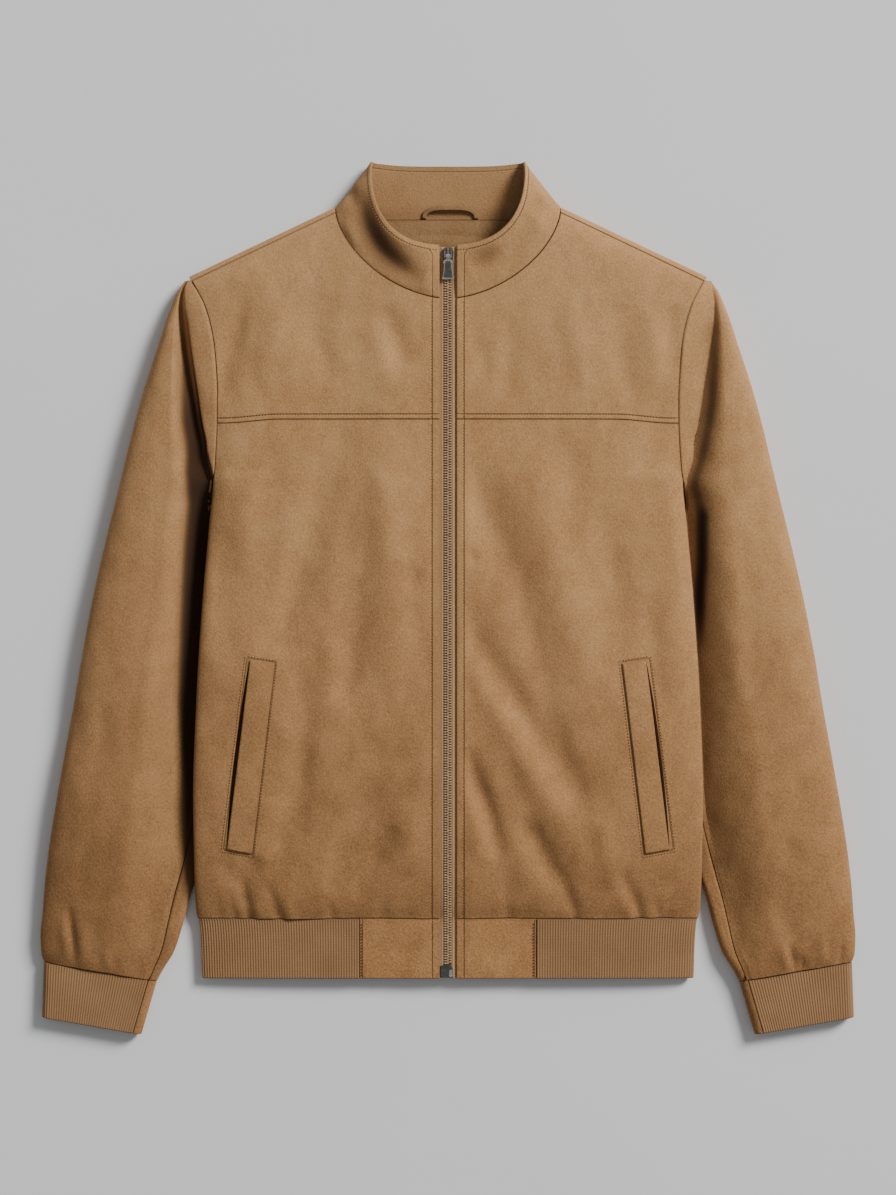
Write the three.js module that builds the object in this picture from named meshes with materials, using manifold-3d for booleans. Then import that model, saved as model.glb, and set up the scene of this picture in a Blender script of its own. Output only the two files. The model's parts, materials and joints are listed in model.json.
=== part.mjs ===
// A zip-front suede jacket laid flat: fronts up, sleeves beside the body.
// Millimetres, +Z up. It lies on z = 0 with the collar towards +Y, and the
// wearer's left is +X. Each cut and sewn piece is one closed wall of cloth.

import * as THREE from 'three';
import { mergeVertices } from 'three/addons/utils/BufferGeometryUtils.js';
import Module from 'manifold-3d';

const wasm = await Module();
wasm.setup();

// Driving sizes
const CLOTH = 2.0;             // suede with its backing
const COLLAR_CLOTH = 2.4;      // the collar is folded double
const RIB_CLOTH = 3.0;         // rib knit, folded double
const GAP = 0.3;               // between two pieces at a seam
const HALF_GAP = GAP / 2;
const FOLD_HEIGHT = 8;         // of the shoulder and collar folds above the floor
const FRONT_EDGE = 7.5;        // from the middle of the zip to each front edge
const ORIGIN_SHIFT = new THREE.Vector3(0, 0.6, 0);   // puts the origin under the middle

// Levels up the jacket
const HEM_BOTTOM = -343.8;
const HEM_TOP = -289.8;
const UNDERARM = 105.3;
const CHEST_SEAM = 159.3;
const CHEST_SEAM_END = 156;    // it drops a little at the armhole
const NECK_POINT = new THREE.Vector2(101.7, 351.5);
const SHOULDER_POINT = new THREE.Vector2(233.6, 288.9);

const SUEDE = 0xa9793f;
const SUEDE_INSIDE = 0x9c7038;
const KNIT = 0x9a6d3a;
const TAPE = 0x6f5232;
const METAL = 0x5a5650;

// Small helpers

const clamp = (value, low, high) => Math.min(high, Math.max(low, value));

function ramp(value, from, to) {
  const step = clamp((value - from) / (to - from), 0, 1);
  return step * step * (3 - 2 * step);
}

const mix = (from, to, step) => from + (to - from) * step;

// A smooth curve through the points that never overshoots them
function monotoneCurve(places, values) {
  const last = places.length - 1;
  const slopes = places.slice(0, last).map((place, i) => (
    (values[i + 1] - values[i]) / (places[i + 1] - place)));
  const tangents = places.map((place, i) => {
    if (i === 0 || i === last) return slopes[Math.min(i, last - 1)];
    if (slopes[i - 1] * slopes[i] <= 0) return 0;
    const before = place - places[i - 1];
    const after = places[i + 1] - place;
    const first = 2 * after + before;
    const second = after + 2 * before;
    return (first + second) / (first / slopes[i - 1] + second / slopes[i]);
  });
  return (at) => {
    const place = clamp(at, places[0], places[last]);
    let i = 0;
    while (i < last - 1 && place > places[i + 1]) i += 1;
    const width = places[i + 1] - places[i];
    const t = (place - places[i]) / width;
    const t2 = t * t;
    const t3 = t2 * t;
    return values[i] * (2 * t3 - 3 * t2 + 1) + tangents[i] * width * (t3 - 2 * t2 + t)
      + values[i + 1] * (3 * t2 - 2 * t3) + tangents[i + 1] * width * (t3 - t2);
  };
}

// A table with named columns, its first column rising, read anywhere between its rows
function table(columns, rows) {
  const places = rows.map((row) => row[0]);
  const curves = columns.slice(1).map((name, i) => (
    [name, monotoneCurve(places, rows.map((row) => row[i + 1]))]));
  return (at) => Object.fromEntries(curves.map(([name, curve]) => [name, curve(at)]));
}

// The body, hem to neck: half width, height of the underside beside the sleeve,
// height of the side seam, and height of the middle of the front
const bodyAt = table(['y', 'half', 'low', 'side', 'top'], [
  [-344, 221.5, 0, 6.5, 13],
  [-291.5, 224.3, 0, 7, 15],
  [-289, 226, 0, 7.2, 15.5],
  [-279, 227.4, 0.8, 9, 19],
  [-263.7, 228, 5.5, 12.5, 22.5],
  [-245, 228.4, 9.7, 15.5, 24.8],
  [-227.7, 228.6, 9.7, 16.8, 26.3],
  [-182.7, 229.2, 9.7, 17.6, 28],
  [-92.7, 226.2, 9.5, 18, 30],
  [-2.7, 220.6, 9.5, 18, 30],
  [64.8, 214.6, 10, 18, 30],
  [105.3, 211, 11, 18, 29.5],
  [114.3, 215, 9, 12, 29.2],
  [132.3, 222, 4, 8, 28.7],
  [159.3, 236, 0.5, 2, 28],
  [195.3, 255, 0, 1, 27.8],
  [267.3, 285, 0, 1, 27],
  [351.9, 300, 0, 1, 26],
]);
const CROWN = 3.2;             // how square the front's arch is
const SHOULDER_ROLL = 40;      // how far from the fold the shoulder still curves
const ROLL = 2.4;

// The armhole, as the polyline that every panel and the sleeve share
const ARMHOLE = [
  [105.3, 211], [113, 209.8], [124, 208.9], [138, 208], [156, 207.3], [180, 207],
  [204, 208.1], [227.7, 210.2], [246, 213.6], [262, 218.5], [275, 225], [285.4, 231],
];
const BACK_ARMHOLE_HEIGHT = table(['y', 'z'], [
  [105.3, 17.7], [113.3, 12.5], [125.3, 7.5], [150.3, 1.2], [172, 0], [300, 0],
]);

// Level lines that the front, the back and the sleeve share below the armhole
const BODY_ROWS = [
  -279, -263.7, -245, -227.7, -205, -182.7, -150, -120, -92.7, -50, -2.7, 30, 64.8, 85,
];

// The largest folds: troughs have a negative depth and ridges a positive one
const FOLDS = [
  { depth: -2.6, width: 14, path: [[33.3, 105], [63, 13.5], [87.3, -83.7], [114.3, -173.7]] },
  { depth: -1.8, width: 11, path: [[18.9, -150], [44.1, -221.4], [54, -262]] },
  { depth: -2.0, width: 11, path: [[73.8, -212.4], [103.5, -259.2], [113.4, -283.5]] },
  { depth: -1.6, width: 9, path: [[156.6, -250], [174.6, -283.5]] },
  { depth: 1.6, width: 14, path: [[27, -68.4], [65.7, -121.5], [109.8, -204.3], [123.3, -237.6]] },
  { depth: 1.2, width: 16, path: [[85.5, 95.4], [99.9, -9]] },
  { depth: -2.2, width: 14, path: [[-96.3, 140], [-103.5, 102.6], [-116.1, 50.4], [-145.8, -38.7]] },
  { depth: -1.8, width: 12, path: [[-133.2, -143.1], [-136.8, -188.1], [-148.5, -217.8]] },
  { depth: -1.8, width: 11, path: [[-66.6, -232.2], [-99, -259.2]] },
  { depth: -1.6, width: 9, path: [[-200, -244.8], [-182.7, -270]] },
  { depth: 1.3, width: 16, path: [[-59.4, 132.3], [-51.3, 43.2]] },
];

function distanceToPath(x, y, path) {
  let nearest = Infinity;
  for (let i = 0; i + 1 < path.length; i += 1) {
    const [x0, y0] = path[i];
    const [x1, y1] = path[i + 1];
    const length2 = (x1 - x0) ** 2 + (y1 - y0) ** 2;
    const along = clamp(((x - x0) * (x1 - x0) + (y - y0) * (y1 - y0)) / length2, 0, 1);
    nearest = Math.min(nearest, Math.hypot(x - mix(x0, x1, along), y - mix(y0, y1, along)));
  }
  return nearest;
}

// Folds die away at the zip, at the side seams and at the hem
function foldHeight(x, y, half) {
  const fade = ramp(Math.abs(x), 12, 26) * ramp(half - Math.abs(x), 2, 24)
    * ramp(y, HEM_TOP, HEM_TOP + 16);
  if (fade === 0 || y > CHEST_SEAM) return 0;
  let height = 0;
  for (const fold of FOLDS) {
    height += fold.depth * Math.exp(-((distanceToPath(x, y, fold.path) / fold.width) ** 2));
  }
  return height * fade;
}

// How far a point lies inside the straight shoulder fold
const shoulderRun = new THREE.Vector2().subVectors(SHOULDER_POINT, NECK_POINT).normalize();

function insideShoulder(x, y) {
  return (NECK_POINT.x - Math.abs(x)) * -shoulderRun.y + (NECK_POINT.y - y) * shoulderRun.x;
}

// The fold's roll, from 0 at the fold to 1 where the panel is level
function rollIn(distance) {
  const step = clamp(distance / SHOULDER_ROLL, 0, 1);
  return (1 - (1 - step) ** ROLL) ** (1 / ROLL);
}

// A quarter round that lifts an edge from the floor
function curl(distance, radius) {
  if (distance >= radius || radius <= 0) return 0;
  const inward = radius - Math.max(0, distance);
  return radius - Math.sqrt(radius ** 2 - inward ** 2);
}

// Outer surface of the fronts and yokes
function frontHeight(x, y) {
  const body = bodyAt(y);
  const across = Math.min(1, Math.abs(x) / body.half);
  const crown = (1 - across ** CROWN) ** (1 / CROWN);
  const level = mix(body.side, body.top, crown) + foldHeight(x, y, body.half);
  return mix(FOLD_HEIGHT + HALF_GAP, level, rollIn(insideShoulder(x, y)));
}

function armholeX(y) {
  let i = 0;
  while (i < ARMHOLE.length - 2 && y > ARMHOLE[i + 1][0]) i += 1;
  const [y0, x0] = ARMHOLE[i];
  const [y1, x1] = ARMHOLE[i + 1];
  return mix(x0, x1, (y - y0) / (y1 - y0));
}

// 0 at the underarm, 1 where the armhole's two layers have parted
const openArmhole = (y) => ramp(y, UNDERARM, UNDERARM + 18);

const bodyEdge = (y) => (y <= UNDERARM ? bodyAt(y).half : armholeX(y));

// Outer surface of the back: flat on the floor, lifted where the sleeve is tucked under
const TUCK_REACH = 65;
const TUCK_FULL = 42;
const UNDERARM_EASE = 22;      // how far from the armhole the back rises to the underarm

function backHeight(x, y) {
  const body = bodyAt(y);
  const fromEdge = bodyEdge(y) - Math.abs(x);
  const edgeHeight = y <= UNDERARM ? body.side - GAP : BACK_ARMHOLE_HEIGHT(y).z;
  const lift = body.low * ramp(-fromEdge, -TUCK_REACH, -TUCK_FULL);
  const rise = Math.max(0, edgeHeight - body.low);
  const eased = rise * Math.max(0, 1 - Math.max(0, fromEdge) / UNDERARM_EASE) ** 2;
  return lift + mix(curl(fromEdge, rise), eased, openArmhole(y))
    + curl(insideShoulder(x, y), FOLD_HEIGHT - HALF_GAP);
}

// The outward direction of a height surface, taken from inside the panel's edge
const STEP = 0.05;

function heightNormal(height, x, y, up) {
  const stepX = Math.sign(x || 1) * STEP;
  const near = height(x - stepX, y - STEP);
  const slopeX = (near - height(x - 2 * stepX, y - STEP)) / stepX;
  const slopeY = (near - height(x - stepX, y - 2 * STEP)) / STEP;
  return new THREE.Vector3(-slopeX, -slopeY, 1).normalize().multiplyScalar(up ? 1 : -1);
}

// On the side seam and the shoulder fold both panels stand upright
const AT_FOLD = 0.1;

function onPanel(height, x, y, up) {
  const normal = heightNormal(height, x, y, up);
  const atSide = y <= UNDERARM && bodyEdge(y) - Math.abs(x) < AT_FOLD;
  if (atSide || insideShoulder(x, y) < AT_FOLD) normal.setZ(0).normalize();
  return { point: new THREE.Vector3(x, y, height(x, y)), normal };
}

const onFront = (x, y) => onPanel(frontHeight, x, y, true);
const onBack = (x, y) => onPanel(backHeight, x, y, false);

// Walls: a grid of outer points with their outward directions becomes a closed solid

function closedSolid(positions, faces) {
  const geometry = new THREE.BufferGeometry();
  geometry.setAttribute('position', new THREE.Float32BufferAttribute(positions, 3));
  geometry.setIndex(faces);
  if (signedVolume(geometry) < 0) {
    for (let i = 0; i < faces.length; i += 3) {
      [faces[i + 1], faces[i + 2]] = [faces[i + 2], faces[i + 1]];
    }
    geometry.setIndex(faces);
  }
  return geometry;
}

function signedVolume(geometry) {
  const at = geometry.getAttribute('position');
  const index = geometry.getIndex();
  const [a, b, c] = [new THREE.Vector3(), new THREE.Vector3(), new THREE.Vector3()];
  let volume = 0;
  for (let i = 0; i < index.count; i += 3) {
    a.fromBufferAttribute(at, index.getX(i));
    b.fromBufferAttribute(at, index.getX(i + 1));
    c.fromBufferAttribute(at, index.getX(i + 2));
    volume += a.dot(b.cross(c)) / 6;
  }
  return volume;
}

// cells[i][j] holds { point, normal, raise }: raise lifts only the outer side
function wall(cells, thickness, sink = 0) {
  const columns = cells.length;
  const rows = cells[0].length;
  const positions = [];
  for (const side of ['outer', 'inner']) {
    for (const column of cells) {
      for (const { point, normal, raise = 0 } of column) {
        const out = side === 'outer' ? raise - sink : -sink - thickness;
        positions.push(...point.clone().addScaledVector(normal, out).toArray());
      }
    }
  }
  const inner = columns * rows;
  const at = (i, j) => i * rows + j;
  const faces = [];
  const quad = (a, b, c, d) => faces.push(a, b, c, a, c, d);
  for (let i = 0; i + 1 < columns; i += 1) {
    for (let j = 0; j + 1 < rows; j += 1) {
      const [a, b, c, d] = [at(i, j), at(i + 1, j), at(i + 1, j + 1), at(i, j + 1)];
      quad(a, b, c, d);
      faces.push(inner + a, inner + c, inner + b, inner + a, inner + d, inner + c);
    }
  }
  for (let i = 0; i + 1 < columns; i += 1) {
    quad(at(i + 1, 0), at(i, 0), inner + at(i, 0), inner + at(i + 1, 0));
    const top = rows - 1;
    quad(at(i, top), at(i + 1, top), inner + at(i + 1, top), inner + at(i, top));
  }
  for (let j = 0; j + 1 < rows; j += 1) {
    quad(at(0, j), at(0, j + 1), inner + at(0, j + 1), inner + at(0, j));
    const end = columns - 1;
    quad(at(end, j + 1), at(end, j), inner + at(end, j), inner + at(end, j + 1));
  }
  return closedSolid(positions, faces);
}

// Outward directions of a grid of points, from their neighbours; turn says which side is out
function withNormals(points, turn) {
  return points.map((column, i) => column.map((point, j) => {
    const across = new THREE.Vector3().subVectors(
      points[Math.min(i + 1, points.length - 1)][j], points[Math.max(i - 1, 0)][j]);
    const along = new THREE.Vector3().subVectors(
      column[Math.min(j + 1, column.length - 1)], column[Math.max(j - 1, 0)]);
    return { point, normal: across.cross(along).normalize().multiplyScalar(turn) };
  }));
}

// Keeps an end row's rim in the plane of its cut
function squareEnd(cell, cut) {
  cell.normal.addScaledVector(cut, -cell.normal.dot(cut)).normalize();
}

const jacket = new THREE.Group();

function add(name, geometry, color, roughness = 0.95, metalness = 0) {
  const material = new THREE.MeshStandardMaterial({ color, roughness, metalness });
  const mesh = new THREE.Mesh(geometry, material);
  mesh.name = name;
  jacket.add(mesh);
  return mesh;
}

const SIDES = [['left', 1], ['right', -1]];

// Fronts: from the hem seam to the chest seam, from the zip to the side seam and armhole

const FRONT_COLUMNS = 13;

function chestSeamY(x) {
  return mix(CHEST_SEAM, CHEST_SEAM_END, ramp(Math.abs(x), 150, 200));
}

const armholeLow = ARMHOLE.filter(([y]) => y <= CHEST_SEAM_END);
const armholeHigh = ARMHOLE.filter(([y]) => y >= CHEST_SEAM_END);

// Columns lie closer together towards the side, where the panel curves down
function acrossFront(step, y) {
  const { half } = bodyAt(y);
  const from = Math.asin(FRONT_EDGE / half);
  const to = Math.asin(Math.min(1, bodyEdge(y) / half));
  return half * Math.sin(mix(from, to, step));
}

function front(name, side) {
  const rows = [HEM_TOP + HALF_GAP, ...BODY_ROWS, ...armholeLow.map(([y]) => y)];
  const cells = [];
  for (let i = 0; i <= FRONT_COLUMNS; i += 1) {
    cells.push(rows.map((row) => {
      const x = acrossFront(i / FRONT_COLUMNS, row);
      const share = Math.max(0, (row - UNDERARM) / (CHEST_SEAM_END - UNDERARM));
      const y = row + share * (chestSeamY(x) - CHEST_SEAM_END - HALF_GAP);
      return onFront(side * x, y);
    }));
  }
  for (const column of cells) squareEnd(column[0], new THREE.Vector3(0, 1, 0));
  add(name, wall(cells, CLOTH), SUEDE);
}

// The neck seam, from the zip round to the neck point, as angles that yoke and collar share
const NECK_WIDTH = NECK_POINT.x;
const NECK_DEPTH = 84.2;
const NECK_POWER = 1.75;
const NECK_ANGLES = [12, 23, 34, 45, 55, 64, 72, 79, 84.5, 88, 90];

function neckSeam(degrees, inset) {
  const angle = THREE.MathUtils.degToRad(degrees);
  const x = (NECK_WIDTH - inset) * Math.sin(angle) ** (2 / NECK_POWER);
  const y = NECK_POINT.y - (NECK_DEPTH - inset) * Math.cos(angle) ** (2 / NECK_POWER);
  return new THREE.Vector2(x, y);
}

function neckStartAngle(inset) {
  const share = FRONT_EDGE / (NECK_WIDTH - inset);
  return THREE.MathUtils.radToDeg(Math.asin(share ** (NECK_POWER / 2)));
}

// Yokes: from the chest seam to the shoulder, a patch blended between its four edges
const YOKE_CENTRE_ROWS = 5;
const YOKE_COLUMNS = 9;

function yoke(name, side) {
  const bottomY = (x) => chestSeamY(x) + HALF_GAP;
  const neckStart = neckSeam(neckStartAngle(-HALF_GAP), -HALF_GAP);
  const inner = [];
  for (let j = 0; j < YOKE_CENTRE_ROWS; j += 1) {
    inner.push(new THREE.Vector2(
      FRONT_EDGE, mix(bottomY(0), neckStart.y, j / YOKE_CENTRE_ROWS)));
  }
  inner.push(neckStart);
  for (const degrees of NECK_ANGLES) inner.push(neckSeam(degrees, -HALF_GAP));
  inner[inner.length - 1].copy(NECK_POINT).addScaledVector(shoulderRun, HALF_GAP);
  const outer = armholeHigh.map(([y, x]) => new THREE.Vector2(x, y));
  outer[0].y = bottomY(outer[0].x);
  outer.push(SHOULDER_POINT.clone());
  while (outer.length < inner.length) {
    const spans = outer.slice(1).map((point, k) => point.distanceTo(outer[k]));
    const widest = spans.indexOf(Math.max(...spans));
    outer.splice(widest + 1, 0, outer[widest].clone().lerp(outer[widest + 1], 0.5));
  }
  const bottom = (step) => {
    const x = acrossFront(step, CHEST_SEAM_END);
    return new THREE.Vector2(x, bottomY(x));
  };
  const lastRow = inner.length - 1;
  const top = (step) => inner[lastRow].clone().lerp(outer[lastRow], step);
  const cells = [];
  for (let i = 0; i <= YOKE_COLUMNS; i += 1) {
    const s = i / YOKE_COLUMNS;
    cells.push(inner.map((innerPoint, j) => {
      const t = j / lastRow;
      const place = innerPoint.clone().lerp(outer[j], s)
        .add(bottom(s).lerp(top(s), t))
        .sub(inner[0].clone().lerp(outer[0], s).lerp(inner[lastRow].clone()
          .lerp(outer[lastRow], s), t));
      return onFront(side * place.x, place.y);
    }));
  }
  add(name, wall(cells, CLOTH), SUEDE);
}

// Back: one panel from the hem seam to the shoulders and the back of the neck

const BACK_NECK_DROP = 10.5;
const BACK_NECK_FLAT = 70;
const BACK_NECK_PLACES = [0, 35, 70, 86, 96, 100.4, NECK_WIDTH];

function backNeckY(x) {
  const beyond = Math.max(0, Math.abs(x) - BACK_NECK_FLAT) / (NECK_WIDTH - BACK_NECK_FLAT);
  return NECK_POINT.y - BACK_NECK_DROP * Math.sqrt(Math.max(0, 1 - beyond ** 2));
}

// Each row: the column's distance from the side seam (or from the middle, where it is
// marked so) below the armhole, and its place along the neck or shoulder above it
function backColumns() {
  const below = [
    { middle: 0 }, { middle: 45 }, { middle: 90 }, { middle: 130 },
    { side: 65 }, { side: 53 }, { side: 42 }, { side: 25 },
    { side: 9 }, { side: 4 }, { side: 1.2 }, { side: 0 },
  ];
  const neck = BACK_NECK_PLACES.map((x) => new THREE.Vector2(
    x, backNeckY(x) - HALF_GAP));
  const shoulderCells = below.length - neck.length;
  const top = [...neck];
  for (let k = 1; k <= shoulderCells; k += 1) {
    top.push(NECK_POINT.clone().lerp(SHOULDER_POINT, k / shoulderCells));
  }
  return below.map((place, k) => ({ place, top: top[k] }));
}

const placeAcross = (place, edge) => (
  place.middle === undefined ? edge - place.side : place.middle);

function back(name) {
  const half = backColumns();
  const low = [HEM_TOP + HALF_GAP, ...BODY_ROWS, UNDERARM];
  const high = [...ARMHOLE.slice(1).map(([y]) => y), SHOULDER_POINT.y];
  const highX = (y) => (y >= SHOULDER_POINT.y ? SHOULDER_POINT.x : armholeX(y));
  const columnCells = ({ place, top }, side) => {
    const cells = low.map((y) => onBack(side * placeAcross(place, bodyAt(y).half), y));
    const atUnderarm = placeAcross(place, bodyEdge(UNDERARM));
    const share = atUnderarm / bodyEdge(UNDERARM);
    for (const row of high) {
      const rise = (row - UNDERARM) / (SHOULDER_POINT.y - UNDERARM);
      const x = share * highX(row) + rise * (top.x - share * SHOULDER_POINT.x);
      const y = UNDERARM + rise * (top.y - UNDERARM);
      cells.push(onBack(side * x, y));
    }
    squareEnd(cells[0], new THREE.Vector3(0, 1, 0));
    return cells;
  };
  const left = half.map((column) => columnCells(column, 1));
  const right = half.slice(1).map((column) => columnCells(column, -1)).reverse();
  add(name, wall([...right, ...left], CLOTH), SUEDE);
}

// Sleeve sections, from the shoulder to the cuff. out is the outer fold, valley the
// crease beside the body and how high it lies on each side, seam and inner the underarm
// seam and the inner fold under the body, crest and edge the heights of the top and of
// the outer fold, and drop how far the row slants down towards the body
const sleeveAt = table(
  ['y', 'out', 'valley', 'lowRight', 'lowLeft', 'seam', 'inner', 'turn', 'crest', 'edge', 'drop'],
  [
    [-329.1, 364.8, 274, 14.2, 14.2, 269, 262.5, 6.3, 15, 6.5, 17.2],
    [-322, 367, 272, 14.5, 14.5, 266, 258.5, 6.4, 17.5, 7, 16.6],
    [-308, 367.7, 265, 14, 14, 259, 248.5, 6.3, 20, 8, 14.5],
    [-295, 366.5, 261, 13, 13, 255.5, 243, 6, 22, 8.6, 13],
    [-262, 364, 251, 11.6, 11.6, 247, 233, 5, 26, 9.5, 9],
    [-227.7, 360, 241, 10.2, 10.2, 236.5, 220.5, 4.35, 28.5, 10.5, 5],
    [-182.7, 352.8, 232, 9.3, 9.4, 227, 206, 4.3, 29.5, 11, 2],
    [-92.7, 336.6, 228, 9.2, 9.6, 222.7, 191, 4.3, 30, 11, 0],
    [-2.7, 320.4, 222.6, 9.2, 10.4, 216.4, 191, 4.3, 30, 11, 0],
    [64.8, 305, 216.8, 9.4, 11.5, 212.2, 203.5, 4.3, 30, 11, 0],
    [85, 300, 217, 11, 13, 214.9, 214, 4.3, 30, 11, 0],
    [105.3, 295, 215, 15, 16.4, 211.4, 211.4, 4.3, 30, 11, 0],
    [126, 290, 214.5, 12.8, 16.2, 209, 209, 4.3, 29.8, 11, 0],
    [160, 281.7, 220, 11.5, 16, 207, 207, 4.3, 29, 10.6, 0],
    [192, 272.7, 225, 11, 16, 207, 207, 4.3, 27.5, 10, 0],
    [222, 262.8, 230, 10.8, 16.4, 209, 209, 4.3, 25, 9.4, 0],
    [245, 255.6, 233, 11.4, 16.6, 213, 213, 4.3, 22, 9, 0],
    [267, 247.5, 236.5, 13, 16.4, 221, 221, 4.3, 17.6, 8.6, 0],
    [278, 242.3, 236.4, 14, 15.4, 227, 227, 4.3, 15.2, 8.2, 0],
    [285.4, 237, 234, 13, 13.2, 231, 231, 4.3, 12.6, 8, 0],
  ]);
const CREST_PLACE = 0.42;      // of the way from the valley to the outer fold
const FOLD_DROP = 6;           // beside the armhole the crease lies this far beyond its fold line
const SLEEVE_ROWS = [
  -329.1, -321, -306, -285, -262, -245, -227.7, -205, -182.7, -140, -92.7, -50, -2.7,
  30, 64.8, 85,
];
const TUCK_START = 70;         // below this level the sleeve's inner edge lies under the body
const SLEEVE_TOP_STEPS = [0.09, 0.24, 0.45, 0.67, 0.85, 0.96, 1];

// One section as points { x, z }, from the front seam over the top and back underneath
function sleeveSection(y, side) {
  const cut = sleeveAt(y);
  const open = y >= UNDERARM;
  const valleyHeight = side > 0 ? cut.lowLeft : cut.lowRight;
  const seamX = open ? armholeX(y) + GAP : cut.seam;
  const frontZ = y > UNDERARM ? frontHeight(armholeX(y), y) : 0;
  const closedZ = y === UNDERARM ? bodyAt(y).side - HALF_GAP : 2 * cut.turn;
  const seamZ = y > UNDERARM ? frontZ : closedZ;
  const endZ = y > UNDERARM ? backHeight(armholeX(y), y) : closedZ;
  const sharp = side < 0 ? openArmhole(y) : 0;
  const drop = Math.min(FOLD_DROP * openArmhole(y), 0.28 * (cut.out - cut.valley));
  const valleyX = cut.valley + drop;
  const fold = {
    x: mix(mix(seamX, valleyX, 0.5), cut.valley, sharp),
    z: mix(seamZ, valleyHeight, mix(0.42, 0.13, sharp)),
  };
  const section = [{ x: seamX, z: seamZ }, fold, { x: valleyX, z: valleyHeight }];
  const width = cut.out - valleyX;
  for (const step of SLEEVE_TOP_STEPS) {
    const x = valleyX + step * width;
    const rising = Math.min(1, step / CREST_PLACE);
    const falling = Math.max(0, (step - CREST_PLACE) / (1 - CREST_PLACE));
    const z = step < CREST_PLACE
      ? mix(valleyHeight, cut.crest, Math.sin(rising * Math.PI / 2) ** 1.2)
      : mix(cut.edge, cut.crest, (1 - falling ** 2.6) ** (1 / 2.6));
    section.push({ x, z });
  }
  const reach = Math.min(1.2 * cut.edge, 0.45 * (cut.out - cut.inner));
  for (const degrees of [45, 90]) {
    const angle = THREE.MathUtils.degToRad(degrees);
    section.push({
      x: cut.out - reach * (1 - Math.cos(angle)),
      z: cut.edge * (1 - Math.sin(angle)),
    });
  }
  const innerX = open ? seamX : cut.inner;
  const turned = y < TUCK_START;
  const eased = Math.min(UNDERARM_EASE, 0.4 * width);
  const reachIn = turned ? cut.turn : mix(0.7 * Math.max(endZ, 4), eased, openArmhole(y));
  section.push({ x: mix(cut.out - reach, innerX + reachIn, 0.5), z: 0 });
  if (turned) {
    for (const degrees of [0, 60, 120, 180]) {
      const angle = THREE.MathUtils.degToRad(degrees);
      section.push({
        x: innerX + reachIn * (1 - Math.sin(angle)),
        z: cut.turn * (1 - Math.cos(angle)),
      });
    }
  } else {
    for (const away of [1, 0.6, 0.25, 0.05]) {
      const round = 1 - Math.sqrt(1 - (1 - away) ** 2);
      section.push({
        x: innerX + reachIn * away,
        z: endZ * mix(round, (1 - away) ** 2, openArmhole(y)),
      });
    }
  }
  section.push({ x: y > UNDERARM ? innerX : seamX, z: endZ });
  if (!open || y === UNDERARM) openSeam(section);
  return section;
}

// Parts the two ends of a closed section, along their own directions
function openSeam(section) {
  const pull = (end, next) => {
    const length = Math.hypot(next.x - end.x, next.z - end.z);
    end.x += (next.x - end.x) * (HALF_GAP + 0.05) / length;
    end.z += (next.z - end.z) * (HALF_GAP + 0.05) / length;
  };
  pull(section[0], section[1]);
  pull(section[section.length - 1], section[section.length - 2]);
}

// Both rims of a seam lean the same way: at the underarm seam they share one direction,
// and up the armhole they turn to the body's, but never lean into it
function shareRims(front, end, y, side) {
  const towardsBody = new THREE.Vector3(-side, 0, 0);
  if (y < UNDERARM) {
    front.add(end).normalize();
    end.copy(front);
    return;
  }
  const x = side * armholeX(y);
  const turned = ramp(y, UNDERARM, UNDERARM + 26);
  for (const [rim, sewn] of [[front, onFront(x, y)], [end, onBack(x, y)]]) {
    const direction = sewn.normal;
    if (y < SHOULDER_POINT.y - 45) direction.x = side * Math.min(0, side * direction.x);
    rim.lerpVectors(towardsBody, direction, turned).normalize();
  }
}

function sleeveCells(side) {
  const rows = [...SLEEVE_ROWS, ...ARMHOLE.map(([y]) => y)];
  const sections = rows.map((y) => sleeveSection(y, side));
  const columns = sections[0].map((_, i) => rows.map((y, j) => {
    const { x, z } = sections[j][i];
    const cut = sleeveAt(y);
    const slant = cut.drop * (cut.out - x) / (cut.out - cut.inner);
    return new THREE.Vector3(side * x, y - slant, z);
  }));
  const cells = withNormals(columns, side);
  const first = cells[0];
  const last = cells[cells.length - 1];
  rows.forEach((y, j) => shareRims(first[j].normal, last[j].normal, y, side));
  const end = cuffLines(side, 0);
  const along = new THREE.Vector3().subVectors(end.outer, end.inner).normalize();
  const cut = new THREE.Vector3(-along.y, along.x, 0);
  for (const column of cells) squareEnd(column[0], cut);
  return cells;
}

// Cuffs: a flat rib tube with a plain suede strip round its inner edge
const CUFF = {
  outerTop: [364.5, -329.4], outerBottom: [366.3, -378.9],
  innerTop: [262.8, -346.5], innerBottom: [276.8, -394.5],
  turn: 6.5, strip: 7.6,
};
const RIB_PITCH = 2.35;
const RIB_RAISE = 0.5;

function cuffLines(side, step) {
  const place = (from, to) => new THREE.Vector3(
    side * mix(from[0], to[0], step), mix(from[1], to[1], step), 0);
  return {
    outer: place(CUFF.outerTop, CUFF.outerBottom),
    inner: place(CUFF.innerTop, CUFF.innerBottom),
  };
}

// Each step of the path gives its place across, from the width there, its height and
// its outward direction in the section
function cuffCells(path, side) {
  return path.map(({ across, z, out, raise = 0 }) => [0, 1].map((step) => {
    const { outer, inner } = cuffLines(side, step);
    const run = new THREE.Vector3().subVectors(outer, inner);
    const width = run.length();
    run.normalize();
    const point = inner.clone().addScaledVector(run, across(width));
    point.z = z;
    const normal = run.multiplyScalar(out[0]).add(new THREE.Vector3(0, 0, out[1]));
    return { point, normal, raise };
  }));
}

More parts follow.
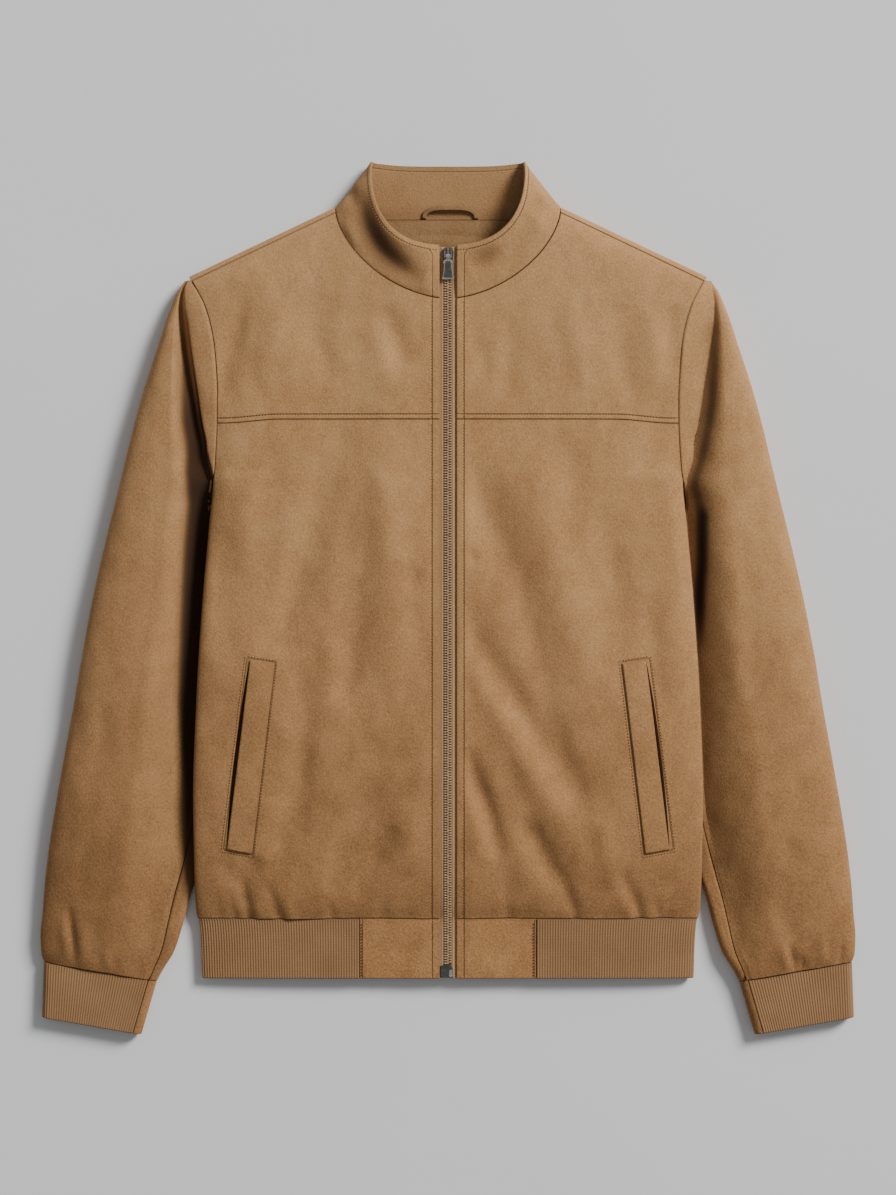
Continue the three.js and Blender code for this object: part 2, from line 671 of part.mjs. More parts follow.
function cuff(sideName, side) {
  const { turn, strip } = CUFF;
  const { outer, inner } = cuffLines(side, 0);
  const ribs = Math.round((outer.distanceTo(inner) - turn - strip) / RIB_PITCH);
  const ribPath = [];
  for (let k = 0; k <= 2 * ribs; k += 1) {
    ribPath.push({
      across: (width) => mix(strip + HALF_GAP, width - turn, k / (2 * ribs)),
      z: 2 * turn, out: [0, 1], raise: k % 2 === 1 ? RIB_RAISE : 0,
    });
  }
  for (const degrees of [20, 40, 60, 80, 110, 145, 180]) {
    const angle = THREE.MathUtils.degToRad(degrees);
    ribPath.push({
      across: (width) => width - turn * (1 - Math.sin(angle)),
      z: turn * (1 + Math.cos(angle)), out: [Math.sin(angle), Math.cos(angle)],
      raise: degrees === 20 || degrees === 60 ? RIB_RAISE : 0,
    });
  }
  ribPath.push({ across: () => strip + HALF_GAP, z: 0, out: [0, -1] });
  add(`cuff_rib_${sideName}`, wall(cuffCells(ribPath, side), RIB_CLOTH), KNIT);

  const stripPath = [{ across: () => strip - HALF_GAP, z: 0, out: [0, -1] }];
  for (const degrees of [0, 36, 72, 108, 144, 180]) {
    const angle = THREE.MathUtils.degToRad(degrees);
    stripPath.push({
      across: () => turn * (1 - Math.sin(angle)), z: turn * (1 - Math.cos(angle)),
      out: [-Math.sin(angle), -Math.cos(angle)],
    });
  }
  stripPath.push({ across: () => strip - HALF_GAP, z: 2 * turn, out: [0, 1] });
  add(`cuff_strip_${sideName}`, wall(cuffCells(stripPath, side), CLOTH), SUEDE);
}

// Hem: suede tabs beside the zip, and one rib band round the sides and the back
const TAB_END = 80;
const HEM_RIB_TOP = HEM_TOP - HALF_GAP;

function hemTab(name, side) {
  const cells = [];
  const columns = 5;
  for (let i = 0; i <= columns; i += 1) {
    const x = side * mix(FRONT_EDGE, TAB_END - HALF_GAP, i / columns);
    cells.push([HEM_BOTTOM, HEM_RIB_TOP].map((y) => onFront(x, y)));
  }
  for (const column of cells) {
    for (const cell of column) squareEnd(cell, new THREE.Vector3(0, 1, 0));
  }
  add(name, wall(cells, CLOTH), SUEDE);
}

function hemRib(name) {
  const rows = [HEM_BOTTOM, HEM_RIB_TOP];
  const ribs = Math.round((bodyAt(HEM_BOTTOM).half - TAB_END) / RIB_PITCH);
  const acrossFrom = (share, y) => {
    const { half } = bodyAt(y);
    const from = TAB_END + HALF_GAP;
    // Even steps over the flat front, then closer ones round the side
    return share < 1 ? mix(from, half, 1 - (1 - share) ** 1.15) : half;
  };
  const frontSide = (side) => {
    const cells = [];
    for (let k = 0; k <= 2 * ribs; k += 1) {
      const raise = k % 2 === 1 ? RIB_RAISE : 0;
      cells.push(rows.map((y) => ({
        ...onFront(side * acrossFrom(k / (2 * ribs), y), y), raise })));
    }
    return cells;
  };
  const under = [1, 2.6, 6.5, 30];
  const backSide = (side) => under.map((inset) => rows.map((y) => (
    onBack(side * (bodyAt(y).half - inset), y))));
  const cells = [
    ...frontSide(-1), ...backSide(-1), rows.map((y) => onBack(0, y)),
    ...backSide(1).reverse(), ...frontSide(1).reverse(),
  ];
  for (const column of cells) {
    for (const cell of column) squareEnd(cell, new THREE.Vector3(0, 1, 0));
  }
  add(name, wall(cells, RIB_CLOTH), KNIT);
}

// Collar: a stand collar round the neck, zip edge to zip edge
const RIM = { width: 69.3, depth: 77.4, level: 393.3, backDip: 4, power: 2.6, rise: 3.6 };
const COLLAR_ROWS = 3;
const COLLAR_BULGE = 1.4;
const collarFoldRun = new THREE.Vector2(RIM.width, RIM.level).sub(NECK_POINT).normalize();

function insideCollarFold(x, y) {
  return (NECK_POINT.x - Math.abs(x)) * collarFoldRun.y
    + (NECK_POINT.y - y) * -collarFoldRun.x;
}

function frontRim(degrees) {
  const angle = THREE.MathUtils.degToRad(degrees);
  const power = 2 / RIM.power;
  const x = Math.max(FRONT_EDGE, RIM.width * Math.sin(angle) ** power);
  const y = RIM.level - RIM.depth * Math.cos(angle) ** power;
  const level = bodyAt(y).top + RIM.rise * Math.sin(2 * angle);
  const z = mix(FOLD_HEIGHT, level, rollIn(insideCollarFold(x, y)));
  return new THREE.Vector3(x, y, z);
}

function backRim(neckX) {
  const share = neckX / NECK_WIDTH;
  const x = RIM.width * share;
  const y = RIM.level - RIM.backDip * (1 - share ** 4);
  return new THREE.Vector3(x, y, curl(insideCollarFold(x, y), FOLD_HEIGHT));
}

// Half the collar's columns, from the zip to the middle of the back, with the outward
// direction of the panel that each is sewn to
function collarSpokes() {
  const start = neckStartAngle(HALF_GAP);
  const spokes = [start, ...NECK_ANGLES].map((degrees) => {
    const seam = neckSeam(degrees, HALF_GAP);
    const sewn = onFront(seam.x, seam.y);
    const rim = frontRim(degrees === start ? 0 : degrees);
    return { neck: sewn.point, rim, sewn: sewn.normal, bulge: COLLAR_BULGE };
  });
  for (const place of BACK_NECK_PLACES.slice(0, -1).reverse()) {
    const y = backNeckY(place) + HALF_GAP;
    const sewn = onBack(place, y);
    spokes.push({ neck: sewn.point, rim: backRim(place), sewn: sewn.normal, bulge: 0 });
  }
  return spokes;
}

function collarCells() {
  const half = collarSpokes();
  const middle = half.length - 1;
  const mirrored = [
    ...half.map((spoke) => ({ ...spoke, side: 1 })),
    ...half.slice(0, middle).reverse().map((spoke) => ({ ...spoke, side: -1 })),
  ];
  const points = mirrored.map(({ neck, rim, bulge, side }) => {
    const column = [];
    for (let j = 0; j <= COLLAR_ROWS; j += 1) {
      const step = j / COLLAR_ROWS;
      const point = neck.clone().lerp(rim, step);
      point.z += bulge * Math.sin(Math.PI * step) * rollIn(insideCollarFold(point.x, point.y));
      point.x *= side;
      column.push(point);
    }
    return column;
  });
  const cells = withNormals(points, 1);
  mirrored.forEach(({ sewn, side }, i) => {
    cells[i][0].normal.set(side * sewn.x, sewn.y, sewn.z);
  });
  return cells;
}

// Zip: tapes behind the front edges, the closed chain between them
const ZIP_TOP = 313.2;
const TAPE_DEPTH = 2.75;
const TAPE_CLOTH = 0.7;
const TAPE_REACH = 14;
const CHAIN_HALF = 3.2;
const CHAIN_DEPTH = 0.2;
const CHAIN_THICK = 2.2;
const SLIDER_LENGTH = 11;
const STOP_LENGTH = 12.5;

function zipRun(from, to, places, thickness, depth) {
  const between = [HEM_RIB_TOP, HEM_TOP + HALF_GAP, ...BODY_ROWS, UNDERARM, CHEST_SEAM, 267];
  const rows = [from, ...between.filter((y) => y > from + 6 && y < to - 6), to];
  const cells = places.map((x) => rows.map((y) => ({
    point: new THREE.Vector3(x, y, bodyAt(y).top), normal: new THREE.Vector3(0, 0, 1) })));
  return wall(cells, thickness, depth);
}

function zip() {
  for (const [sideName, side] of SIDES) {
    const places = [side * 0.2, side * TAPE_REACH];
    add(`zip_tape_${sideName}`,
      zipRun(HEM_BOTTOM + 0.8, ZIP_TOP + 0.6, places, TAPE_CLOTH, TAPE_DEPTH), TAPE);
  }
  const chainFrom = HEM_BOTTOM + STOP_LENGTH + 0.6;
  const chainTo = ZIP_TOP - SLIDER_LENGTH - GAP;
  add('zip_chain', zipRun(chainFrom, chainTo, [-CHAIN_HALF, CHAIN_HALF],
    CHAIN_THICK, CHAIN_DEPTH), METAL, 0.4, 0.8);
}

// Solids joined with manifold
function toSolid(geometry) {
  const bare = geometry.clone();
  bare.deleteAttribute('normal');
  bare.deleteAttribute('uv');
  const merged = mergeVertices(bare, 1e-4);
  return new wasm.Manifold(new wasm.Mesh({
    numProp: 3,
    vertProperties: new Float32Array(merged.getAttribute('position').array),
    triVerts: new Uint32Array(merged.getIndex().array),
  }));
}

function fromSolid(solid) {
  const mesh = solid.getMesh();
  return closedSolid(Array.from(mesh.vertProperties), Array.from(mesh.triVerts));
}

// An outline in the X-Y plane, raised from z = low by height
function plate(outline, height, low, bevel = 0) {
  const geometry = new THREE.ExtrudeGeometry(new THREE.Shape(outline), {
    depth: height - 2 * bevel, steps: 1, curveSegments: 6,
    bevelEnabled: bevel > 0, bevelThickness: bevel, bevelSize: bevel,
    bevelOffset: -bevel, bevelSegments: 1,
  });
  geometry.translate(0, 0, low + bevel);
  return geometry;
}

const outlineFrom = (pairs) => pairs.map(([x, y]) => new THREE.Vector2(x, y));

// Slider: body over the end of the chain, two lugs and the cross bar of the pull tab
const SLIDER = { halfWidth: 5, waist: 3.9, above: 0.8, below: 2.2 };
const BAR = { y: 305, radius: 0.7, lift: 3.1, reach: 3.1, lug: 1, lugHalf: 1.3 };
const zipHeight = bodyAt(BAR.y).top;

function slider() {
  const low = ZIP_TOP - SLIDER_LENGTH;
  const { halfWidth: wide, waist } = SLIDER;
  const right = [
    [waist, low], [wide - 0.4, low + 2.5], [wide, low + 7.5],
    [wide - 1.2, ZIP_TOP - 0.6], [2, ZIP_TOP],
  ];
  const left = right.map(([x, y]) => [-x, y]).reverse();
  const body = plate(outlineFrom([...right, ...left]),
    SLIDER.above + SLIDER.below, zipHeight - SLIDER.below, 0.3);
  let solid = toSolid(body);
  const lugHeight = BAR.lift + BAR.radius + 0.5 - SLIDER.above;
  for (const side of [-1, 1]) {
    const lug = new THREE.BoxGeometry(BAR.lug, 2 * BAR.lugHalf, lugHeight + 0.5);
    lug.translate(side * (BAR.reach - BAR.lug / 2), BAR.y,
      zipHeight + SLIDER.above - 0.5 + (lugHeight + 0.5) / 2);
    solid = solid.add(toSolid(lug));
  }
  const bar = new THREE.CylinderGeometry(BAR.radius, BAR.radius, 2 * BAR.reach - 0.6, 12);
  bar.rotateZ(Math.PI / 2);
  bar.translate(0, BAR.y, zipHeight + BAR.lift);
  add('zip_slider', fromSolid(solid.add(toSolid(bar))), METAL, 0.35, 0.9);
}

// Pull tab: an eye round the cross bar, a neck, and a waisted blade over the chain
const PULL = { eyeOuter: 1.9, eyeHole: 1.05, eyeHalf: 1.7, length: 20.5, thick: 1.6 };

function pullTab() {
  const eye = new THREE.Shape();
  eye.absarc(0, 0, PULL.eyeOuter, 0, 2 * Math.PI, false);
  const hole = new THREE.Path();
  hole.absarc(0, 0, PULL.eyeHole, 0, 2 * Math.PI, true);
  eye.holes.push(hole);
  const ring = new THREE.ExtrudeGeometry(eye, {
    depth: 2 * PULL.eyeHalf, curveSegments: 9, bevelEnabled: false });
  ring.translate(0, 0, -PULL.eyeHalf);
  ring.rotateY(Math.PI / 2);
  ring.translate(0, BAR.y, zipHeight + BAR.lift);
  const bladeLow = zipHeight + BAR.lift - PULL.eyeOuter;
  const top = BAR.y - PULL.eyeHole - 0.35;
  const wideTop = BAR.y - 3.2;
  const end = BAR.y - PULL.length;
  const right = [
    [1.7, top], [1.7, wideTop + 0.5], [4.25, wideTop - 0.6], [3.6, wideTop - 5],
    [4.3, end + 4], [5.5, end + 0.9], [5.1, end],
  ];
  const left = right.map(([x, y]) => [-x, y]).reverse();
  const blade = plate(outlineFrom([...right.reverse(), ...left.reverse()]),
    PULL.thick, bladeLow, 0.25);
  add('zip_pull', fromSolid(toSolid(ring).add(toSolid(blade))), METAL, 0.35, 0.9);
}

// Bottom stop: the retainer box and the pin beside it
function zipStop() {
  const low = HEM_BOTTOM + 0.8;
  const high = low + STOP_LENGTH - GAP;
  const outline = outlineFrom([
    [-6.3, low], [4.6, low], [4.6, high - 5], [2.4, high], [-3, high], [-6.6, high - 1.5],
  ]);
  const top = bodyAt(low).top;
  add('zip_box', plate(outline, 2.5, top - 2.1, 0.3), METAL, 0.35, 0.9);
}

// Pocket welts: slanted strips that lie on the fronts
const WELT = {
  top: [[155.4, -59.1], [179.8, -55.5]], bottom: [[176.2, -231.1], [201.2, -226.8]],
  thick: 1.2, above: 0.5,
};

function welt(name, side) {
  const cells = [];
  const across = 3;
  const along = 14;
  for (let i = 0; i <= across; i += 1) {
    const column = [];
    for (let j = 0; j <= along; j += 1) {
      const s = i / across;
      const t = j / along;
      const upper = WELT.top.map((pair) => new THREE.Vector2(...pair));
      const lower = WELT.bottom.map((pair) => new THREE.Vector2(...pair));
      const place = upper[0].lerp(upper[1], s).lerp(lower[0].lerp(lower[1], s), t);
      column.push(onFront(side * place.x, place.y));
    }
    cells.push(column);
  }
  add(name, wall(cells, WELT.thick, -(WELT.thick + WELT.above)), SUEDE);
}

// Facing and hanger loop, inside the back of the neck
const FACING = { half: 82, low: 284, top: 340.6, bottom: CLOTH + GAP, thick: 1.2 };
const LOOP = { middle: 1.9, half: 25.5, low: 341.6, high: 351, width: 4.1, thick: 1.8 };

function facing() {
  const shape = new THREE.Shape();
  const depth = FACING.top - FACING.low;
  shape.moveTo(FACING.half, FACING.top);
  shape.lineTo(-FACING.half, FACING.top);
  shape.absellipse(0, FACING.top, FACING.half, depth, Math.PI, 2 * Math.PI, false, 0);
  const geometry = new THREE.ExtrudeGeometry(shape, {
    depth: FACING.thick, curveSegments: 10, bevelEnabled: false });
  geometry.translate(0, 0, FACING.bottom);
  add('neck_facing', geometry, SUEDE_INSIDE);
}

function hangerLoop() {
  const arch = (half, high, steps, turn) => {
    const points = [];
    for (let k = 0; k <= steps; k += 1) {
      const angle = Math.PI * k / steps;
      const flat = Math.sign(Math.cos(angle)) * Math.abs(Math.cos(angle)) ** 0.45;
      points.push([LOOP.middle + half * flat, LOOP.low + (high - LOOP.low) * Math.sin(angle) ** 0.7]);
    }
    return turn ? points.reverse() : points;
  };
  const outer = arch(LOOP.half, LOOP.high, 9, false);
  const inner = arch(LOOP.half - LOOP.width, LOOP.high - LOOP.width, 9, true);
  const outline = outlineFrom([...outer, ...inner]);
  add('hanger_loop', plate(outline, LOOP.thick, COLLAR_CLOTH + GAP), SUEDE_INSIDE);
}

back('back');
for (const [sideName, side] of SIDES) {
  front(`front_${sideName}`, side);
  yoke(`yoke_${sideName}`, side);
  add(`sleeve_${sideName}`, wall(sleeveCells(side), CLOTH), SUEDE);
  cuff(sideName, side);
  hemTab(`hem_tab_${sideName}`, side);
  welt(`pocket_welt_${sideName}`, side);
}
hemRib('hem_rib');
add('collar', wall(collarCells(), COLLAR_CLOTH), SUEDE);
facing();
hangerLoop();
zip();
slider();
pullTab();
zipStop();

jacket.position.copy(ORIGIN_SHIFT);

export default jacket;
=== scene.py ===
# %% [markdown]
# # A suede zip jacket, laid flat
# The jacket lies on its back, seen from straight above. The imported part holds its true
# size and the place of every cut piece, so this script loads it first as a fixed frame.
# Each plain solid is then dressed with a finer piece that follows the same surface.

import json
import math

import bpy
import numpy as np
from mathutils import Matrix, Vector

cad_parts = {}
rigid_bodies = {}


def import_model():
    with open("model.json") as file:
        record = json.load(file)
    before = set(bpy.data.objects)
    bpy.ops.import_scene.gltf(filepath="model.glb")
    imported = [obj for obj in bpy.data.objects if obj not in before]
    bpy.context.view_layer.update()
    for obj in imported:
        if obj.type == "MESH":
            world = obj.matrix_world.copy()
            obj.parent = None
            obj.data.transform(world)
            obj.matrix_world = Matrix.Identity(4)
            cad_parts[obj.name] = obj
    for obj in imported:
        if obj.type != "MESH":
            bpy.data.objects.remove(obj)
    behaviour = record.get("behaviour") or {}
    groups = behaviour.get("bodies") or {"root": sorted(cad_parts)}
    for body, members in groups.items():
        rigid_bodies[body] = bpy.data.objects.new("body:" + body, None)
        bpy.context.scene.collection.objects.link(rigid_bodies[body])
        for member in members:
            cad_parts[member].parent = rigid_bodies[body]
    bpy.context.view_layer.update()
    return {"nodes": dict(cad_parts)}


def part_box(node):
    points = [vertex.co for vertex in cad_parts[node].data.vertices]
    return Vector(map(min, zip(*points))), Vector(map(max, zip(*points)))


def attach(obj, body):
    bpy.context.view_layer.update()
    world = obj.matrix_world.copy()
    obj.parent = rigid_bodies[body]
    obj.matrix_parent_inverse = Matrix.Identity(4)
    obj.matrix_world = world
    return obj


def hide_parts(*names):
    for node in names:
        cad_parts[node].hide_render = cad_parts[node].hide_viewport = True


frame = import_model()
print("nodes in the part:", len(frame["nodes"]))

# %% [markdown]
# ## Sizes
# All making is done in millimetres, as a pattern cutter works, and turned into metres
# when a mesh is made. These are the sizes that the solids were built from. They could be
# read off each node's box, but a seam is a curve, and a box doesn't hold a curve.

# %% Driving sizes
MM = 0.001
SHIFT_Y = 0.6                  # puts the origin under the middle of the jacket
CLOTH = 2.0
COLLAR_CLOTH = 2.4
RIB_CLOTH = 3.0
GAP = 0.3
HALF_GAP = GAP / 2
FOLD_HEIGHT = 8.0              # of the shoulder and collar folds above the floor
FRONT_EDGE = 7.5
HEM_BOTTOM = -343.8
HEM_TOP = -289.8
UNDERARM = 105.3
CHEST_SEAM = 159.3
CHEST_SEAM_END = 156.0
NECK_POINT = np.array([101.7, 351.5])
SHOULDER_POINT = np.array([233.6, 288.9])
SIDES = (("left", 1), ("right", -1))
MIRROR = np.array([-1, 1, 1])
print(f"body: {(CHEST_SEAM - HEM_TOP):.0f} mm from the hem seam to the chest seam")


def ramp(value, start, end):
    step = np.clip((value - start) / (end - start), 0, 1)
    return step * step * (3 - 2 * step)


def mix(start, end, step):
    return start + (end - start) * step


# %% A smooth curve through a column of a table
def curve_through(places, values):
    """A curve that never swings past its points, so a panel has no bumps between them."""
    places, values = np.asarray(places, float), np.asarray(values, float)
    width = np.diff(places)
    slope = np.diff(values) / width
    tangent = np.zeros_like(values)
    tangent[0], tangent[-1] = slope[0], slope[-1]
    for i in range(1, len(places) - 1):
        if slope[i - 1] * slope[i] > 0:
            first = 2 * width[i] + width[i - 1]
            second = width[i] + 2 * width[i - 1]
            tangent[i] = (first + second) / (first / slope[i - 1] + second / slope[i])

    def at(where):
        where = np.clip(where, places[0], places[-1])
        i = np.clip(np.searchsorted(places, where, side="right") - 1, 0, len(width) - 1)
        t = (where - places[i]) / width[i]
        start = values[i] * (2 * t**3 - 3 * t**2 + 1)
        end = values[i + 1] * (3 * t**2 - 2 * t**3)
        leaving = tangent[i] * width[i] * (t**3 - 2 * t**2 + t)
        arriving = tangent[i + 1] * width[i] * (t**3 - t**2)
        return start + leaving + end + arriving

    return at


def table(names, rows):
    """A curve for each named column, along the first column of the rows."""
    columns = np.array(rows, float).T
    return {name: curve_through(columns[0], column) for name, column in zip(names, columns[1:])}


# %% The body from hem to neck, and the armhole
BODY = table(("half", "low", "side", "top"), [
    (-344, 221.5, 0, 6.5, 13), (-291.5, 224.3, 0, 7, 15), (-289, 226, 0, 7.2, 15.5),
    (-279, 227.4, 0.8, 9, 19), (-263.7, 228, 5.5, 12.5, 22.5), (-245, 228.4, 9.7, 15.5, 24.8),
    (-227.7, 228.6, 9.7, 16.8, 26.3), (-182.7, 229.2, 9.7, 17.6, 28), (-92.7, 226.2, 9.5, 18, 30),
    (-2.7, 220.6, 9.5, 18, 30), (64.8, 214.6, 10, 18, 30), (105.3, 211, 11, 18, 29.5),
    (114.3, 215, 9, 12, 29.2), (132.3, 222, 4, 8, 28.7), (159.3, 236, 0.5, 2, 28),
    (195.3, 255, 0, 1, 27.8), (267.3, 285, 0, 1, 27), (351.9, 300, 0, 1, 26),
])
ARMHOLE = [
    (105.3, 211), (113, 209.8), (124, 208.9), (138, 208), (156, 207.3), (180, 207),
    (204, 208.1), (227.7, 210.2), (246, 213.6), (262, 218.5), (275, 225), (285.4, 231),
]
armhole_x = curve_through(*zip(*ARMHOLE, (SHOULDER_POINT[1], SHOULDER_POINT[0])))
back_armhole_height = curve_through(
    (105.3, 113.3, 125.3, 150.3, 172, 300), (17.7, 12.5, 7.5, 1.2, 0, 0))
print("half chest at the underarm, mm:", float(BODY["half"](UNDERARM)))


def body_edge(y):
    return np.where(y <= UNDERARM, BODY["half"](y), armhole_x(y))


def chest_seam_y(x):
    return mix(CHEST_SEAM, CHEST_SEAM_END, ramp(np.abs(x), 150, 200))


# %% [markdown]
# ## The lie of the cloth
# A jacket on the floor is a low pillow: nearly flat on top, steep near the side seams.
# A square-shouldered arch (a superellipse) gives that in one formula. Folds are added as
# soft troughs and ridges along short paths, which is quicker to steer than a simulation
# and comes out the same at each run.

# %% Folds and creases
BODY_FOLDS = [
    (-2.6, 14, [(33.3, 105), (63, 13.5), (87.3, -83.7), (114.3, -173.7)]),
    (-1.8, 11, [(18.9, -150), (44.1, -221.4), (54, -262)]),
    (-2.0, 11, [(73.8, -212.4), (103.5, -259.2), (113.4, -283.5)]),
    (-1.6, 9, [(156.6, -250), (174.6, -283.5)]),
    (1.6, 14, [(27, -68.4), (65.7, -121.5), (109.8, -204.3), (123.3, -237.6)]),
    (1.2, 16, [(85.5, 95.4), (99.9, -9)]),
    (-2.2, 14, [(-96.3, 140), (-103.5, 102.6), (-116.1, 50.4), (-145.8, -38.7)]),
    (-1.8, 12, [(-133.2, -143.1), (-136.8, -188.1), (-148.5, -217.8)]),
    (-1.8, 11, [(-66.6, -232.2), (-99, -259.2)]),
    (-1.6, 9, [(-200, -244.8), (-182.7, -270)]),
    (1.3, 16, [(-59.4, 132.3), (-51.3, 43.2)]),
]


CORNER_CUTS = 3


def bent(path):
    """The path drawn with a loose wrist: its inner corners are cut a few times."""
    path = np.array(path, float)
    for _ in range(CORNER_CUTS if len(path) > 2 else 0):
        cut = np.stack([mix(path[:-1], path[1:], 0.25), mix(path[:-1], path[1:], 0.75)], 1)
        path = np.vstack([path[:1], cut.reshape(-1, 2)[1:-1], path[-1:]])
    return path


def creases(x, y, paths, ends="open"):
    """Height of every fold at each point: its depth, fading with the distance to its path.
    A fold with ends="soft" rises and dies away, and one with ends="hem" starts full."""
    total = np.zeros_like(x)
    for depth, width, path in paths:
        path = path if ends == "open" else bent(path)
        steps = np.linalg.norm(np.diff(path, axis=0), axis=1)
        near, place_along, passed = np.full_like(x, np.inf), np.zeros_like(x), 0.0
        for (x0, y0), (x1, y1), length in zip(path[:-1], path[1:], steps):
            along_x, along_y = x1 - x0, y1 - y0
            t = np.clip(((x - x0) * along_x + (y - y0) * along_y) / length**2, 0, 1)
            away = np.hypot(x - x0 - t * along_x, y - y0 - t * along_y)
            place_along = np.where(away < near, (passed + t * length) / steps.sum(), place_along)
            near = np.minimum(near, away)
            passed += length
        fade, place_along = 1.0, np.clip(place_along, 0, 1)
        if ends == "soft":
            fade = 1.15 * np.sin(math.pi * place_along) ** 0.7
        elif ends == "hem":
            fade = (1 - place_along) ** 0.8
        total += depth * fade * np.exp(-((near / width) ** 2))
    return total


def body_folds(x, y):
    """The large folds, which die away at the zip, at the side seams and at the hem."""
    fade = ramp(np.abs(x), 12, 26) * ramp(BODY["half"](y) - np.abs(x), 2, 24)
    fade = fade * ramp(y, HEM_TOP, HEM_TOP + 16) * (y <= CHEST_SEAM)
    return creases(x, y, BODY_FOLDS) * fade


# %% Heights of the front and of the back
CROWN = 3.2                    # how square the front's arch is
SHOULDER_ROLL = 40.0           # how far from the fold the shoulder still curves
ROLL = 2.4                     # and how square that curve is
BACK_EASE = 22.0               # how far from its edge the back curls up to the armhole
BACK_LIFT = (65, 42)           # where the back rises over the tucked sleeves, from its edge
UNDERARM_BLEND = 18.0          # how far above the underarm one kind of edge becomes another
shoulder_run = (SHOULDER_POINT - NECK_POINT) / np.linalg.norm(SHOULDER_POINT - NECK_POINT)


def inside_shoulder(x, y):
    """Distance from the shoulder fold, towards the middle of the jacket."""
    return (NECK_POINT[0] - np.abs(x)) * -shoulder_run[1] + (NECK_POINT[1] - y) * shoulder_run[0]


def roll_in(distance):
    """Rises from 0 at a fold to 1 where the cloth lies level."""
    step = np.clip(distance / SHOULDER_ROLL, 0, 1)
    return (1 - (1 - step) ** ROLL) ** (1 / ROLL)


def curl(distance, radius):
    """How far a rounded edge of this radius drops, at a distance from the edge."""
    inward = np.clip(radius - np.maximum(0, distance), 0, None)
    return radius - np.sqrt(np.maximum(0, radius**2 - inward**2))


def front_height(x, y):
    across = np.minimum(1, np.abs(x) / BODY["half"](y))
    crown = (1 - across**CROWN) ** (1 / CROWN)
    level = mix(BODY["side"](y), BODY["top"](y), crown) + body_folds(x, y)
    return mix(FOLD_HEIGHT + HALF_GAP, level, roll_in(inside_shoulder(x, y)))


def back_height(x, y):
    low = BODY["low"](y)
    from_edge = body_edge(y) - np.abs(x)
    edge_height = np.where(y <= UNDERARM, BODY["side"](y) - GAP, back_armhole_height(y))
    rise = np.maximum(0, edge_height - low)
    eased = rise * np.maximum(0, 1 - np.maximum(0, from_edge) / BACK_EASE) ** 2
    lift = low * ramp(-from_edge, -BACK_LIFT[0], -BACK_LIFT[1])
    curved = mix(curl(from_edge, rise), eased, ramp(y, UNDERARM, UNDERARM + UNDERARM_BLEND))
    return lift + curved + curl(inside_shoulder(x, y), FOLD_HEIGHT - HALF_GAP)


def on_front(x, y):
    return np.stack([x, y, front_height(x, y)], -1)


def on_back(x, y):
    return np.stack([x, y, back_height(x, y)], -1)


print("height of the front at its middle, mm:", round(float(front_height(0.0, 0.0)), 1))

# %% [markdown]
# ## From a grid of points to a piece of cloth
# A cut piece is a grid of points on its outer face. Blender's Solidify modifier could
# give it a thickness, but sewn suede also rounds over at each edge, where it is turned
# into the seam. So the second face and the rim are made here, and the outer face dips
# within a millimetre of the edge. Grid lines lie close together there to hold the dip.

# %% Grid lines, close together at the edges
EDGE = (0, 0.3, 0.8, 1.5, 2.6)
STEEP_EDGE = (0, 0.04, 0.15, 0.4, 0.8, 1.4, 2.2, 3.2, 4.5, 6.2, 8.2, 10.6)


def spaced(length, pitch, near=EDGE, far=EDGE):
    start, end = near[-1], length - far[-1]
    count = max(1, round((end - start) / pitch))
    middle = np.linspace(start, end, count + 1)
    return np.concatenate([near[:-1], middle, length - np.array(far[-2::-1])])


def grid_normals(points, facing):
    """Unit directions out of the cloth. facing is up, down, or out of a tube."""
    across = np.gradient(points, axis=0)
    along = np.gradient(points, axis=1)
    normal = np.cross(across, along)
    length = np.linalg.norm(normal, axis=2, keepdims=True)
    normal = normal / np.maximum(length, 1e-9)
    if facing == "out":
        outward = (normal * (points - points.mean(0, keepdims=True))).sum()
    else:
        outward = normal[..., 2].sum() * (1 if facing == "up" else -1)
    return normal if outward > 0 else -normal


def line_lengths(points):
    """Distance of each point along its grid line, both ways, from each end."""
    def run(axis):
        steps = np.linalg.norm(np.diff(points, axis=axis), axis=2)
        pad = ((1, 0), (0, 0)) if axis == 0 else ((0, 0), (1, 0))
        return np.pad(steps.cumsum(axis), pad)
    across, along = run(0), run(1)
    return across, across[-1:] - across, along, along[:, -1:] - along


# %% A closed shell of cloth
FAR = 99.0                     # a stitch line that isn't on the piece
SEAM_DIM = 0.8                 # how far from an edge the painted shade of its seam reaches


def closed_shell(outer, inner):
    """Corners and faces of a solid between two grids, with a rim round it."""
    columns, rows = outer.shape[:2]
    corners = np.concatenate([outer.reshape(-1, 3), inner.reshape(-1, 3)])
    at = np.arange(columns * rows).reshape(columns, rows)
    top = np.stack([at[:-1, :-1], at[1:, :-1], at[1:, 1:], at[:-1, 1:]], -1).reshape(-1, 4)
    faces = [top, top[:, ::-1] + columns * rows]
    loop = np.concatenate([at[:, 0], at[-1, 1:], at[-2::-1, -1], at[0, -2:0:-1]])
    following = np.roll(loop, -1)
    under = columns * rows
    faces.append(np.stack([following, loop, loop + under, following + under], -1))
    faces = np.concatenate(faces)
    a, b, c, d = (corners[faces[:, k]] for k in range(4))
    volume = (a * np.cross(b, c)).sum() + (a * np.cross(c, d)).sum()
    return corners, (faces if volume > 0 else faces[:, ::-1]).tolist()


